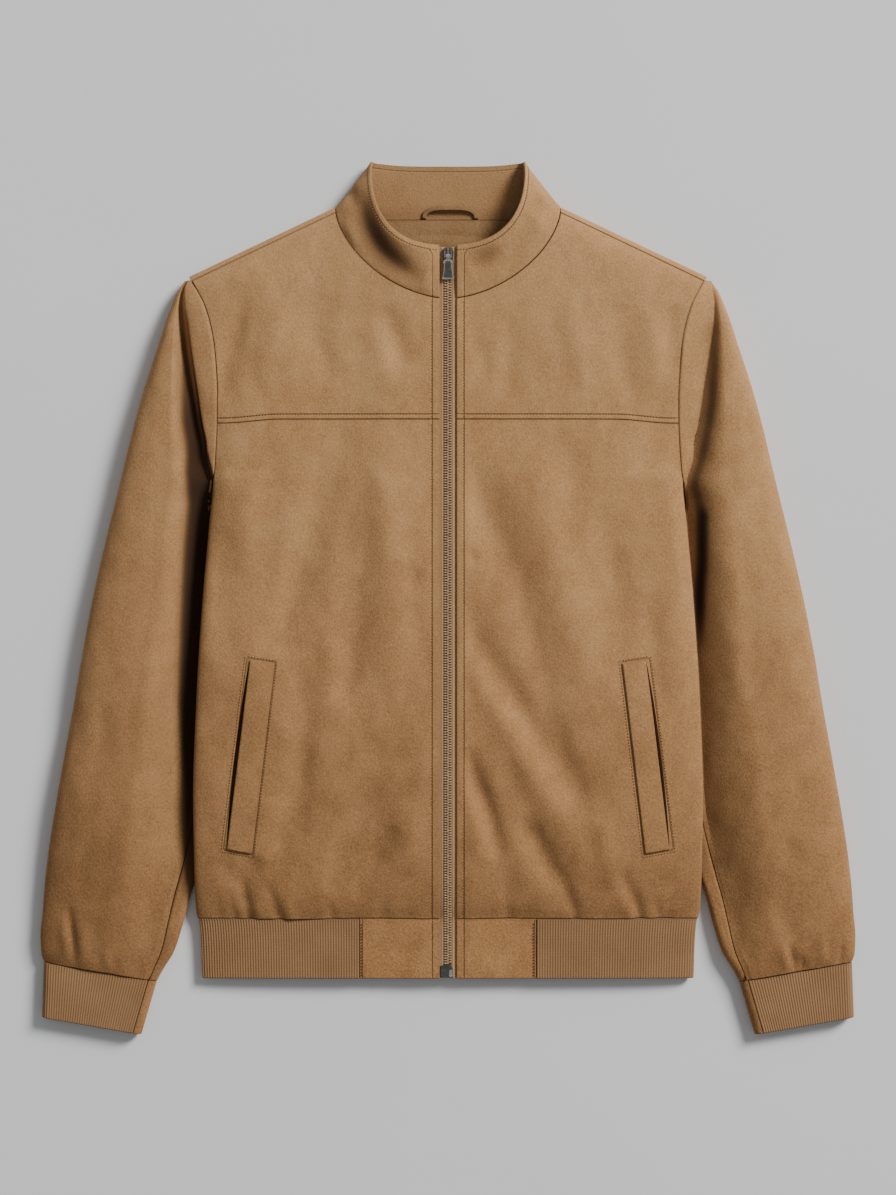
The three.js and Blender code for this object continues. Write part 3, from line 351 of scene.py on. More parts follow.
def cloth(points, thick, facing="up", relief=0.0, turned=0.7, edges="LRBT", marks=None,
          dim=0.0, edge_dim=1.0):
    """One part of a piece: corners, faces, and what its material reads at each corner.
    The edges are those that are turned over, and dim is how deep in shadow the cloth lies."""
    normal = grid_normals(points, facing)
    ends = dict(zip("LRBT", line_lengths(points)))
    away = np.minimum.reduce([ends[edge] for edge in edges])
    outer = points + normal * (relief - curl(away, turned))[..., None]
    inner = points + normal * np.broadcast_to(relief - thick, away.shape)[..., None]
    corners, faces = closed_shell(outer, inner)
    shade = np.maximum(edge_dim * np.exp(-((away / SEAM_DIM) ** 2)), dim)
    read = {"shade": shade, "line_a": np.full_like(shade, FAR), "line_b": np.full_like(shade, FAR)}
    read.update(marks or {})
    return corners, faces, {name: np.tile(value.ravel(), 2) for name, value in read.items()}


# %% Put a piece in the scene
def place(name, parts, material, nodes=(), body="jacket", smooth=True):
    """Joins the parts into one mesh, which stands for the CAD nodes and rides on a body."""
    corners, faces, marks, start = [], [], {}, 0
    for part_corners, part_faces, *part_marks in parts:
        corners.append(part_corners)
        faces += [[start + corner for corner in face] for face in part_faces]
        start += len(part_corners)
        for mark, values in (part_marks[0] if part_marks else {}).items():
            marks.setdefault(mark, []).append(values)
    corners = (np.concatenate(corners) + np.array([0, SHIFT_Y, 0])) * MM
    mesh = bpy.data.meshes.new(name)
    mesh.from_pydata(corners.tolist(), [], faces)
    if smooth:
        mesh.polygons.foreach_set("use_smooth", np.ones(len(mesh.polygons), bool))
    for mark, values in marks.items():
        layer = mesh.attributes.new(mark, "FLOAT", "POINT")
        layer.data.foreach_set("value", np.concatenate(values).astype(np.float32))
    mesh.materials.append(material)
    mesh.update()
    piece = bpy.data.objects.new(name, mesh)
    bpy.context.scene.collection.objects.link(piece)
    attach(piece, body)
    if nodes:
        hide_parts(*nodes)
    low, high = corners.min(0) / MM, corners.max(0) / MM
    print(f"{name}: {len(faces)} faces, {np.round(low, 1)} to {np.round(high, 1)} mm")
    return piece


def declare_cut(points):
    """Measures how long the grid's lines run each way; nothing uses the result."""
    across, _, along, _ = line_lengths(points)


# %% [markdown]
# ## Small movements of the hand
# Suede that has been worn and smoothed by hand is never quite level. A few long waves
# that run in random directions, with a fixed seed, give it that. A noise texture on the
# material could fake it, but then the light wouldn't catch the panels at their edges.

# %% Gentle unevenness
def unevenness(seed, height, shortest, longest, upright=1.6, count=22):
    """A smooth random surface. upright stretches its waves along the jacket."""
    chance = np.random.default_rng(seed)
    length = np.exp(chance.uniform(math.log(shortest), math.log(longest), count))
    turn, phase = chance.uniform(0, 2 * math.pi, count), chance.uniform(0, 2 * math.pi, count)
    strength = length / length.mean() * height * math.sqrt(2 / count)
    wave_x = 2 * math.pi / length * np.cos(turn)
    wave_y = 2 * math.pi / length * np.sin(turn) / upright

    def at(x, y):
        total = np.zeros_like(x)
        for k in range(count):
            total += strength[k] * np.sin(wave_x[k] * x + wave_y[k] * y + phase[k])
        return total

    return at


handled = unevenness(seed=4, height=0.6, shortest=40, longest=150)
rippled = unevenness(seed=9, height=0.09, shortest=10, longest=26)


def surface_relief(x, y, strength=1.0):
    return strength * (handled(x, y) + rippled(x, y))


print("unevenness at the middle, mm:", round(float(surface_relief(np.zeros(1), np.zeros(1))[0]), 2))


# %% [markdown]
# ## Suede
# Suede is leather, or a close-napped cloth, brushed so that short fibres stand up. It has
# no gloss. Its colour shifts in soft clouds where the nap lies this way or that, with a
# fine slanting grain over them. One material serves every suede piece: noise at four
# scales makes the clouds and the grain, and Principled's sheen gives the pale bloom.
# Seams and rows of stitching press into it. Each mesh carries its distance to them, so
# the groove stays thin, however coarse the mesh is.

# %% Helpers for node materials
def new_material(name, roughness, metallic=0.0, specular=0.5, sheen=0.0):
    material = bpy.data.materials.new(name)
    material.use_nodes = True
    tree = material.node_tree
    shader = tree.nodes["Principled BSDF"]
    shader.inputs["Roughness"].default_value = roughness
    shader.inputs["Metallic"].default_value = metallic
    shader.inputs["Specular IOR Level"].default_value = specular
    shader.inputs["Sheen Weight"].default_value = sheen
    return material, tree, shader


def math_node(tree, operation, *values):
    node = tree.nodes.new("ShaderNodeMath")
    node.operation = operation
    for socket, value in zip(node.inputs, values):
        if isinstance(value, (int, float)):
            socket.default_value = value
        else:
            tree.links.new(value, socket)
    return node.outputs[0]


def noise(tree, where, scale, detail=2.0, distortion=0.0):
    node = tree.nodes.new("ShaderNodeTexNoise")
    node.inputs["Scale"].default_value = scale
    node.inputs["Detail"].default_value = detail
    node.inputs["Distortion"].default_value = distortion
    tree.links.new(where, node.inputs["Vector"])
    return node.outputs["Fac"]


def stretched(tree, stretch=(1, 1, 1), turn=0.0):
    """Object coordinates, in metres, with the pattern stretched and then turned about Z."""
    source = tree.nodes.new("ShaderNodeTexCoord")
    mapping = tree.nodes.new("ShaderNodeMapping")
    mapping.vector_type = "TEXTURE"
    mapping.inputs["Rotation"].default_value = (0, 0, math.radians(turn))
    mapping.inputs["Scale"].default_value = stretch
    tree.links.new(source.outputs["Object"], mapping.inputs["Vector"])
    return mapping.outputs["Vector"]


def attribute(tree, name):
    node = tree.nodes.new("ShaderNodeAttribute")
    node.attribute_name = name
    return node.outputs["Fac"]


def weighted(tree, *pairs):
    """The middle grey plus each texture's swing about it, times its weight."""
    total = 0.5
    for texture, weight in pairs:
        swing = math_node(tree, "SUBTRACT", texture, 0.5)
        total = math_node(tree, "MULTIPLY_ADD", swing, weight, total)
    return total


def colour_ramp(tree, value, stops):
    node = tree.nodes.new("ShaderNodeValToRGB")
    ramp_stops = node.color_ramp.elements
    while len(ramp_stops) < len(stops):
        ramp_stops.new(0.5)
    for element, (position, colour) in zip(ramp_stops, stops):
        element.position = position
        element.color = (*colour, 1)
    tree.links.new(value, node.inputs["Fac"])
    return node.outputs["Color"]


def darken(tree, colour, share, dark):
    node = tree.nodes.new("ShaderNodeMix")
    node.data_type = "RGBA"
    tree.links.new(share, node.inputs[0])
    tree.links.new(colour, node.inputs[6])
    node.inputs[7].default_value = (*dark, 1)
    return node.outputs[2]


def paint(tree, shader, colour):
    tree.links.new(colour, shader.inputs["Base Color"])


def bump(tree, shader, height, depth, strength=1.0):
    node = tree.nodes.new("ShaderNodeBump")
    node.inputs["Strength"].default_value = strength
    node.inputs["Distance"].default_value = depth * MM
    tree.links.new(height, node.inputs["Height"])
    tree.links.new(node.outputs["Normal"], shader.inputs["Normal"])


def groove(tree, name, width):
    """1 on the line whose distance the attribute holds, falling to 0 beside it."""
    distance = attribute(tree, name)
    squared = math_node(tree, "MULTIPLY", distance, distance)
    return math_node(tree, "EXPONENT", math_node(tree, "MULTIPLY", squared, -1 / width**2))


# %% Suede between a dark, a middle and a light shade
SUEDE_DARK = (0.228, 0.105, 0.037)
SUEDE_MIDDLE = (0.402, 0.209, 0.083)
SUEDE_LIGHT = (0.565, 0.328, 0.150)
SEAM_SHADOW = (0.110, 0.048, 0.018)
DEEP_SHADOW = (0.016, 0.006, 0.002)
BLOOM = (1.0, 0.86, 0.68, 1)
DOWNWARD_DARKENING = 0.38             # how much darker the suede turns, a metre down the jacket
LOWER_HALF_DARKENING = 0.32           # and as much again below its middle
GROOVE_WIDTH = 0.55
GROOVE_DIM = 0.55              # how much of the seam's shadow a groove takes
SHADE_DIM = 0.5                # and how much a full shade mark takes
DEEP_DIM = 0.95                # how fast a mark beyond 1 goes on to the deep shadow


def suede(name, tint=1.0):
    material, tree, shader = new_material(name, 0.95, specular=0.22, sheen=0.08)
    shader.inputs["Sheen Roughness"].default_value = 0.5
    shader.inputs["Sheen Tint"].default_value = BLOOM
    even = stretched(tree)
    slanted = stretched(tree, (1.0, 1.7, 1.0), turn=-38)
    clouds = noise(tree, even, 13, 3, 0.6)
    patches = noise(tree, stretched(tree, (1, 1.5, 1), turn=-14), 60, 4, 0.4)
    grain = noise(tree, slanted, 800, 3)
    nap = noise(tree, even, 2100, 2)
    tone = weighted(tree, (clouds, 0.30), (patches, 0.32), (grain, 0.80), (nap, 0.45))
    height_up = tree.nodes.new("ShaderNodeSeparateXYZ")
    tree.links.new(even, height_up.inputs[0])
    tone = math_node(tree, "MULTIPLY_ADD", height_up.outputs["Y"], DOWNWARD_DARKENING, tone)
    lower = math_node(tree, "MINIMUM", height_up.outputs["Y"], 0.0)
    tone = math_node(tree, "MULTIPLY_ADD", lower, LOWER_HALF_DARKENING, tone)
    shades = [[tint * part for part in shade] for shade in (SUEDE_DARK, SUEDE_MIDDLE, SUEDE_LIGHT)]
    colour = colour_ramp(tree, tone, list(zip((0.12, 0.5, 0.88), shades)))
    shade = attribute(tree, "shade")
    grooves = [groove(tree, line, GROOVE_WIDTH) for line in ("line_a", "line_b")]
    lines = math_node(tree, "ADD", *grooves)
    # painted shade: the grooves of seams and stitching, and every shade mark, mix towards the
    # seam's shadow colour
    painted_shade_share = math_node(tree, "MAXIMUM", math_node(tree, "MULTIPLY", lines, GROOVE_DIM),
                        math_node(tree, "MULTIPLY", shade, SHADE_DIM))
    colour = darken(tree, colour, painted_shade_share, SEAM_SHADOW)
    deep = math_node(tree, "MULTIPLY_ADD", shade, DEEP_DIM, -DEEP_DIM)
    paint(tree, shader, darken(tree, colour, math_node(tree, "MAXIMUM", deep, 0.0), DEEP_SHADOW))
    height = weighted(tree, (grain, 0.6), (nap, 0.35))
    height = math_node(tree, "MULTIPLY_ADD", lines, -0.8, height)
    bump(tree, shader, height, 0.75, 0.8)
    return material


SUEDE = suede("suede")
# painted shade: a darker copy of the suede for the facing and the hanger loop, deep inside the neck
SUEDE_IN_SHADE = suede("suede_painted_shade", tint=0.62)
SUEDE_TAB = suede("suede_tab", tint=1.2)
print("suedes:", SUEDE.name, SUEDE_IN_SHADE.name, SUEDE_TAB.name)

# %% [markdown]
# ## Fronts
# Each front runs from the zip to the side seam, and from the hem seam up to the chest
# seam. A row of stitching 7 mm from the zip holds down the facing. Below the pocket the
# cloth is eased into the shorter hem band, which gives the short puckers there.

# %% Puckers and softer folds of the fronts
PLACKET_STITCH = 14.3
FOLD_STRENGTH = 0.9            # of the large folds, which the solids hold too
DETAIL_STRENGTH = 1.1          # of the finer folds that cross them
HEM_PUCKERS = [
    (-1.6, 4.5, [(-192.6, -289), (-197, -262)]),
    (-2.0, 4.2, [(-178.2, -289), (-184, -262), (-188, -240)]),
    (-1.9, 4.2, [(-151.2, -289), (-158, -270), (-167, -250)]),
    (-1.3, 4.5, [(-103.5, -289), (-109, -268)]),
    (-0.8, 4.5, [(-206, -288), (-209, -256)]), (1.0, 5.5, [(-170, -285), (-179, -248)]),
    (0.9, 5.5, [(-142, -286), (-152, -256)]), (-1.8, 4.5, [(114.3, -289), (108, -264), (96, -240)]),
    (-2.0, 4.2, [(172.8, -289), (166, -268), (154, -246)]),
    (-1.4, 3.8, [(190.8, -289), (186, -268)]),
    (-1.3, 3.8, [(198, -289), (201, -264)]), (1.0, 5.5, [(163, -286), (150, -260), (141, -236)]),
    (0.9, 5.5, [(181, -286), (176, -260)]), (-1.1, 5.5, [(54, -289), (49, -256)]),
    (-0.9, 5.5, [(-60, -289), (-57, -262)]),
]
FRONT_DETAIL = [
    (-2.6, 12, [(22, 108), (31, 80), (41, 48), (50, 16)]), (-1.4, 6, [(16, 42), (27, 31)]),
    (-4.2, 14, [(10, -8), (24, -34), (46, -72), (72, -110), (104, -158), (126, -194)]),
    (-3.6, 9, [(13, -134), (22, -162), (36, -194), (43, -236)]),
    (-3.0, 10, [(66, -196), (84, -228), (98, -262)]),
    (-2.8, 16, [(140, 84), (146, 34), (150, -30)]),
    (3.0, 22, [(72, 136), (84, 84), (96, 24), (118, -50), (146, -110)]),
    (2.2, 12, [(36, -84), (62, -138), (92, -190), (118, -232)]),
    (-1.4, 10, [(182, -14), (188, -92)]),
    (1.6, 16, [(196, 120), (204, 0), (208, -120)]), (1.8, 10, [(24, -176), (32, -240)]),
    (2.0, 11, [(134, -196), (150, -262)]), (-1.5, 14, [(108, 140), (112, 90)]),
    (-2.8, 14, [(-110, 130), (-122, 66), (-140, 8), (-158, -50)]),
    (-2.6, 13, [(-82, 20), (-88, -40), (-96, -96)]),
    (3.0, 18, [(-62, 130), (-56, 60), (-50, -10), (-54, -80)]),
    (-1.7, 8, [(-26, 26), (-38, 8)]), (-2.0, 11, [(-134, -60), (-128, -130), (-136, -200)]),
    (-2.6, 12, [(-58, -170), (-84, -206), (-112, -246)]), (2.2, 13, [(-104, -20), (-104, -120)]),
    (-2.4, 10, [(-46, -206), (-70, -240), (-84, -272)]), (1.8, 14, [(-176, 110), (-186, 20)]),
    (2.0, 12, [(-38, -180), (-34, -250)]), (-1.6, 14, [(-198, 60), (-206, -60)]),
    (-1.6, 9, [(-170, -232), (-190, -262)]), (1.6, 12, [(-158, -180), (-172, -240)]),
]
print("puckers at the hem:", len(HEM_PUCKERS), "and finer folds:", len(FRONT_DETAIL))

# %% Fronts
FRONT_WIDTH = 220.0            # about, to share out the columns of the grid
KEPT_WIDTH = 20.0              # near the zip the columns keep their distance from it
POCKET_STITCH = 0.7            # outside the welt
WELT_TOP = np.array([(155.4, -59.1), (179.8, -55.5)])
WELT_BOTTOM = np.array([(176.2, -231.1), (201.2, -226.8)])


def outside_pocket(x, y):
    """Distance outside the pocket's four edges, with its corners a little rounded."""
    edges = [WELT_TOP[0], WELT_TOP[1], WELT_BOTTOM[1], WELT_BOTTOM[0]]
    beyond = []
    for (x0, y0), (x1, y1) in zip(edges, edges[1:] + edges[:1]):
        length = math.hypot(x1 - x0, y1 - y0)
        beyond.append(((y - y0) * (x1 - x0) - (x - x0) * (y1 - y0)) / length)
    wide, high = np.maximum(beyond[1], beyond[3]), np.maximum(beyond[0], beyond[2])
    rounded = np.hypot(np.maximum(wide, 0), np.maximum(high, 0))
    return np.where((wide < 0) & (high < 0), np.maximum(wide, high), rounded)


def front_grid(side):
    across = spaced(FRONT_WIDTH, 2.8, far=STEEP_EDGE)
    rows = HEM_TOP + HALF_GAP + spaced(CHEST_SEAM_END - HEM_TOP - HALF_GAP, 2.8)
    across, rows = np.meshgrid(across, rows, indexing="ij")
    stretch = (body_edge(rows) - FRONT_EDGE - KEPT_WIDTH) / (FRONT_WIDTH - KEPT_WIDTH)
    spread = np.where(across < KEPT_WIDTH, across, KEPT_WIDTH + (across - KEPT_WIDTH) * stretch)
    x = FRONT_EDGE + spread
    share = np.maximum(0, (rows - UNDERARM) / (CHEST_SEAM_END - UNDERARM))
    y = rows + share * (chest_seam_y(x) - CHEST_SEAM_END - HALF_GAP)
    return on_front(side * x, y)


def front_relief(x, y):
    calm = ramp(np.abs(x), 10, 24) * ramp(BODY["half"](y) - np.abs(x), 1, 14)
    finer = DETAIL_STRENGTH * creases(x, y, FRONT_DETAIL, "soft")
    finer += (FOLD_STRENGTH - 1) * body_folds(x, y)
    return (surface_relief(x, y) + finer + creases(x, y, HEM_PUCKERS, "hem")) * calm


def far_side_dim(side, x, y):
    """The edge that is turned away from the light lies in its own shade."""
    from_edge = body_edge(y) - np.abs(x)
    return (side < 0) * 0.5 * np.exp(-((from_edge / 9) ** 2)) * ramp(-y, -120, -70)


for side_name, side in SIDES:
    grid = front_grid(side)
    x, y = grid[..., 0], grid[..., 1]
    marks = {"line_a": np.abs(x) - PLACKET_STITCH,
             "line_b": outside_pocket(np.abs(x), y) - POCKET_STITCH}
    part = cloth(grid, CLOTH, relief=front_relief(x, y), marks=marks, dim=far_side_dim(side, x, y))
    name = f"front_{side_name}"
    front = place(f"{name}_suede", [part], SUEDE, [name])
    declare_cut(grid)

# %% [markdown]
# ## Yokes
# The yoke has four curved edges: zip and neck, armhole, chest seam and shoulder. A Coons
# patch blends a grid between four such edges, so its lines end exactly on the seams.
# The shoulder seam lies a few millimetres in front of the fold, and the yoke stops there.

# %% The neck seam and the yoke's edges
NECK_WIDTH = NECK_POINT[0]
NECK_DEPTH = 84.2
NECK_POWER = 1.75
SHOULDER_SEAM = 5.4            # the back wraps over the fold as far as this
CHEST_STITCH = 4.6


def neck_seam(degrees, inset):
    """The front of the neck seam, from 0 at the zip to 90 degrees at the shoulder."""
    angle = np.radians(degrees)
    x = (NECK_WIDTH - inset) * np.sin(angle) ** (2 / NECK_POWER)
    y = NECK_POINT[1] - (NECK_DEPTH - inset) * np.cos(angle) ** (2 / NECK_POWER)
    return np.stack([x, y], -1)


def neck_start(inset):
    """The angle at which the neck seam reaches the zip's edge."""
    return math.degrees(math.asin((FRONT_EDGE / (NECK_WIDTH - inset)) ** (NECK_POWER / 2)))


def path_lengths(path):
    """Length of a path from its start to each of its points."""
    return np.concatenate([[0], np.linalg.norm(np.diff(path, axis=0), axis=1).cumsum()])


def points_at(where, measure, path):
    """Points where a measure that rises along the path has the wanted values."""
    return np.stack([np.interp(where, measure, path[:, k]) for k in range(path.shape[1])], -1)


def along_path(path, shares):
    """Points at these shares of a path's length."""
    lengths = path_lengths(path)
    return points_at(shares * lengths[-1], lengths, path)


def cut_at(path, inside):
    """The path as far as the line that lies this far inside the shoulder fold."""
    depth = inside_shoulder(path[:, 0], path[:, 1])
    return np.vstack([path[depth > inside], points_at(inside, depth[::-1], path[::-1])])


def yoke_edges():
    angles = np.linspace(neck_start(-HALF_GAP), 89.9, 120)
    neck = neck_seam(angles, -HALF_GAP)
    low = np.array([FRONT_EDGE, chest_seam_y(0.0) + HALF_GAP])
    inner = np.vstack([np.linspace(low, neck[0], 40)[:-1], neck])
    y = np.linspace(CHEST_SEAM_END + HALF_GAP, SHOULDER_POINT[1], 120)
    outer = np.stack([armhole_x(y), y], -1)
    return inner, outer


yoke_inner, yoke_outer = yoke_edges()


def yoke_grid(side):
    inner_edge = cut_at(yoke_inner, SHOULDER_SEAM + HALF_GAP)
    outer_edge = cut_at(yoke_outer, SHOULDER_SEAM + HALF_GAP)
    s = spaced(200, 2.8) / 200
    t = spaced(190, 2.4) / 190
    inner, outer = along_path(inner_edge, t), along_path(outer_edge, t)
    x = mix(FRONT_EDGE, outer[0, 0], s)
    bottom = np.stack([x, chest_seam_y(x) + HALF_GAP], -1)
    top = mix(inner[-1], outer[-1], s[:, None])
    s, t = s[:, None, None], t[None, :, None]
    blend = mix(inner[None], outer[None], s) + mix(bottom[:, None], top[:, None], t)
    corners = mix(mix(inner[0], outer[0], s), mix(inner[-1], outer[-1], s), t)
    patch = blend - corners
    return on_front(side * patch[..., 0], patch[..., 1])


# %% Yokes
YOKE_DETAIL = [
    (-2.6, 11, [(-184.5, 282), (-190, 240), (-206, 176)]),
    (-2.2, 12, [(-112, 272), (-124, 240), (-104, 190)]),
    (-2.0, 10, [(-58, 262), (-38, 204)]), (1.8, 13, [(-150, 270), (-162, 186)]),
    (1.6, 12, [(-66, 250), (-54, 182)]), (-2.0, 11, [(156, 262), (160, 176)]),
    (-1.6, 9, [(203, 262), (200, 200)]), (1.8, 13, [(110, 280), (120, 184)]),
    (-1.6, 10, [(60, 252), (50, 176)]), (1.6, 10, [(183, 262), (186, 176)]),
    (-1.4, 9, [(28, 232), (34, 186)]),
]


def yoke_relief(x, y):
    calm = ramp(np.abs(x), 10, 24) * ramp(inside_shoulder(x, y), 5, 22)
    return (surface_relief(x, y) + creases(x, y, YOKE_DETAIL, "soft")) * calm


for side_name, side in SIDES:
    grid = yoke_grid(side)
    x, y = grid[..., 0], grid[..., 1]
    marks = {"line_a": np.abs(x) - PLACKET_STITCH, "line_b": y - chest_seam_y(x) - CHEST_STITCH}
    part = cloth(grid, CLOTH, relief=yoke_relief(x, y), marks=marks)
    name = f"yoke_{side_name}"
    yoke = place(f"{name}_suede", [part], SUEDE, [name])
    declare_cut(grid)

# %% [markdown]
# ## Back
# The back is one panel, fold to fold, and lies on the floor. It is lifted along the
# sides, where the sleeves are tucked under it, and it wraps over the shoulder fold to
# meet the yoke. That wrap is a second strip in the same mesh, so it stays one piece.

# %% Places of the back's columns
BACK_NECK_DROP = 10.5
BACK_NECK_FLAT = 70.0
BACK_NECK_PLACES = (0, 35, 70, 86, 96, 100.4, NECK_WIDTH)
FROM_MIDDLE = (0, 45, 90, 130)                 # the first columns keep their place
FROM_SIDE = (65, 53, 42, 25, 9, 4, 1.2, 0)     # and the others follow the side
BETWEEN_COLUMNS = ((0, 4, 13), (4, 8, 5), (8, 10, 3), (10, 11.01, 3))  # from, to, lines each
NECK_COLUMN, LAST_COLUMN = 6, 11
BACK_ROWS_LOW, BACK_ROWS_HIGH = 4.2, 3.6


def back_neck_y(x):
    beyond = np.maximum(0, np.abs(x) - BACK_NECK_FLAT) / (NECK_WIDTH - BACK_NECK_FLAT)
    return NECK_POINT[1] - BACK_NECK_DROP * np.sqrt(np.maximum(0, 1 - beyond**2))


def back_grid():
    """Half of the back, worked out row by row, and its mirror image."""
    fine = [np.arange(start, end, 1 / lines) for start, end, lines in BETWEEN_COLUMNS]
    fine = np.clip(np.concatenate(fine), 0, LAST_COLUMN)

    def across(edge):
        places = [*FROM_MIDDLE, *(edge - away for away in FROM_SIDE)]
        return np.interp(fine, np.arange(LAST_COLUMN + 1), places)

    neck_x = np.interp(np.minimum(fine, NECK_COLUMN), range(NECK_COLUMN + 1), BACK_NECK_PLACES)
    neck = np.stack([neck_x, back_neck_y(neck_x) - HALF_GAP], -1)
    shoulder = np.clip((fine - NECK_COLUMN) / (LAST_COLUMN - NECK_COLUMN), 0, 1)[:, None]
    top = np.where(fine[:, None] <= NECK_COLUMN, neck, mix(NECK_POINT, SHOULDER_POINT, shoulder))
    low_end = UNDERARM - HEM_TOP - HALF_GAP
    rows = [np.stack([across(float(BODY["half"](y))), np.full(len(fine), y)], -1)
            for y in HEM_TOP + HALF_GAP + spaced(low_end, BACK_ROWS_LOW, far=(0, 2.6))]
    share = across(float(body_edge(UNDERARM))) / float(body_edge(UNDERARM))
    height = SHOULDER_POINT[1] - UNDERARM
    for y in UNDERARM + spaced(height, BACK_ROWS_HIGH, near=(0, 2.6))[1:]:
        rise = (y - UNDERARM) / height
        x = share * armhole_x(y) + rise * (top[:, 0] - share * SHOULDER_POINT[0])
        rows.append(np.stack([x, UNDERARM + rise * (top[:, 1] - UNDERARM)], -1))
    half = np.stack(rows, 1)
    left = on_back(half[..., 0], half[..., 1])
    return np.concatenate([left[:0:-1] * MIRROR, left])


# %% Back panel
def shoulder_wrap(side):
    """The strip of the back that folds over the shoulder on to the front."""
    depths = np.array([0, 0.25, 0.7, 1.3, 2.2, 3.2, 4.1, 4.7, 5.1, SHOULDER_SEAM - HALF_GAP])
    ends = []
    for path in (yoke_inner, yoke_outer):
        depth = inside_shoulder(path[:, 0], path[:, 1])
        ends.append(points_at(depths, depth[::-1], path[::-1]))
    s = (spaced(146, 3.0) / 146)[:, None, None]
    strip = mix(ends[0][None], ends[1][None], s)
    return on_front(side * strip[..., 0], strip[..., 1])


grid = back_grid()
x, y, z = np.moveaxis(grid, 2, 0)
calm = ramp(z, 1, 6) * ramp(body_edge(y) - np.abs(x), 2, 20)
parts = [cloth(grid, CLOTH, facing="down", relief=surface_relief(x, y, 0.4) * calm)]
parts += [cloth(shoulder_wrap(side), CLOTH, edges="T") for _, side in SIDES]
back = place("back_suede", parts, SUEDE, ["back"])
declare_cut(grid)

# %% [markdown]
# ## Sleeves
# A sleeve is a tube, pressed flat, that comes out of the armhole, drops into a crease
# beside the body and rises again. Its underarm seam runs low on the front. The section
# is worked out at each level of a table, then smooth curves join the sections lengthwise.

# %% Sections of the sleeve
SLEEVE = table(
    ("out", "valley", "deep", "soft", "seam", "inner", "turn", "crest", "edge", "drop"), [
        (-329.1, 364.8, 274, 14.2, 14.2, 269, 262.5, 6.3, 15, 6.5, 17.2),
        (-322, 367, 272, 14.5, 14.5, 266, 258.5, 6.4, 17.5, 7, 16.6),
        (-308, 367.7, 265, 14, 14, 259, 248.5, 6.3, 20, 8, 14.5),
        (-295, 366.5, 261, 13, 13, 255.5, 243, 6, 22, 8.6, 13),
        (-262, 364, 251, 11.6, 11.6, 247, 233, 5, 26, 9.5, 9),
        (-227.7, 360, 241, 10.2, 10.2, 236.5, 220.5, 4.35, 28.5, 10.5, 5),
        (-182.7, 352.8, 232, 9.3, 9.4, 227, 206, 4.3, 29.5, 11, 2),
        (-92.7, 336.6, 228, 9.2, 9.6, 222.7, 191, 4.3, 30, 11, 0),
        (-2.7, 320.4, 222.6, 9.2, 10.4, 216.4, 191, 4.3, 30, 11, 0),
        (64.8, 305, 216.8, 9.4, 11.5, 212.2, 203.5, 4.3, 30, 11, 0),
        (85, 300, 217, 11, 13, 214.9, 214, 4.3, 30, 11, 0),
        (105.3, 295, 215, 15, 16.4, 211.4, 211.4, 4.3, 30, 11, 0),
        (126, 290, 214.5, 12.8, 16.2, 209, 209, 4.3, 29.8, 11, 0),
        (160, 281.7, 220, 11.5, 16, 207, 207, 4.3, 29, 10.6, 0),
        (192, 272.7, 225, 11, 16, 207, 207, 4.3, 27.5, 10, 0),
        (222, 262.8, 230, 10.8, 16.4, 209, 209, 4.3, 25, 9.4, 0),
        (245, 255.6, 233, 11.4, 16.6, 213, 213, 4.3, 22, 9, 0),
        (267, 247.5, 236.5, 13, 16.4, 221, 221, 4.3, 17.6, 8.6, 0),
        (278, 242.3, 236.4, 14, 15.4, 227, 227, 4.3, 15.2, 8.2, 0),
        (285.4, 237, 234, 13, 13.2, 231, 231, 4.3, 12.6, 8, 0),
    ])
SLEEVE_ROWS = (-329.1, -321, -306, -285, -262, -245, -227.7, -205, -182.7, -140, -92.7, -50,
               -2.7, 30, 64.8, 85)
CREST_PLACE = 0.42             # of the way from the valley to the outer fold
CREST_RISE = {-1: 2.3, 1: 1.1}     # power of the slope up to it, steeper on the far side
EDGE_SQUARE = 2.6              # how square the slope down to the outer fold is
TUCK_START = 70.0              # below here the sleeve is tucked under the body
UNDERARM_EASE = 22.0
VALLEY_SUNK = 3.6              # how much lower than the solid's the cloth dips there
FOLD_DROP = 6.0                # beside the armhole the crease lies this far beyond its fold line
print("sleeve, from its fold to its outer edge at the underarm, mm:",
      round(float(SLEEVE["out"](UNDERARM) - SLEEVE["valley"](UNDERARM))))

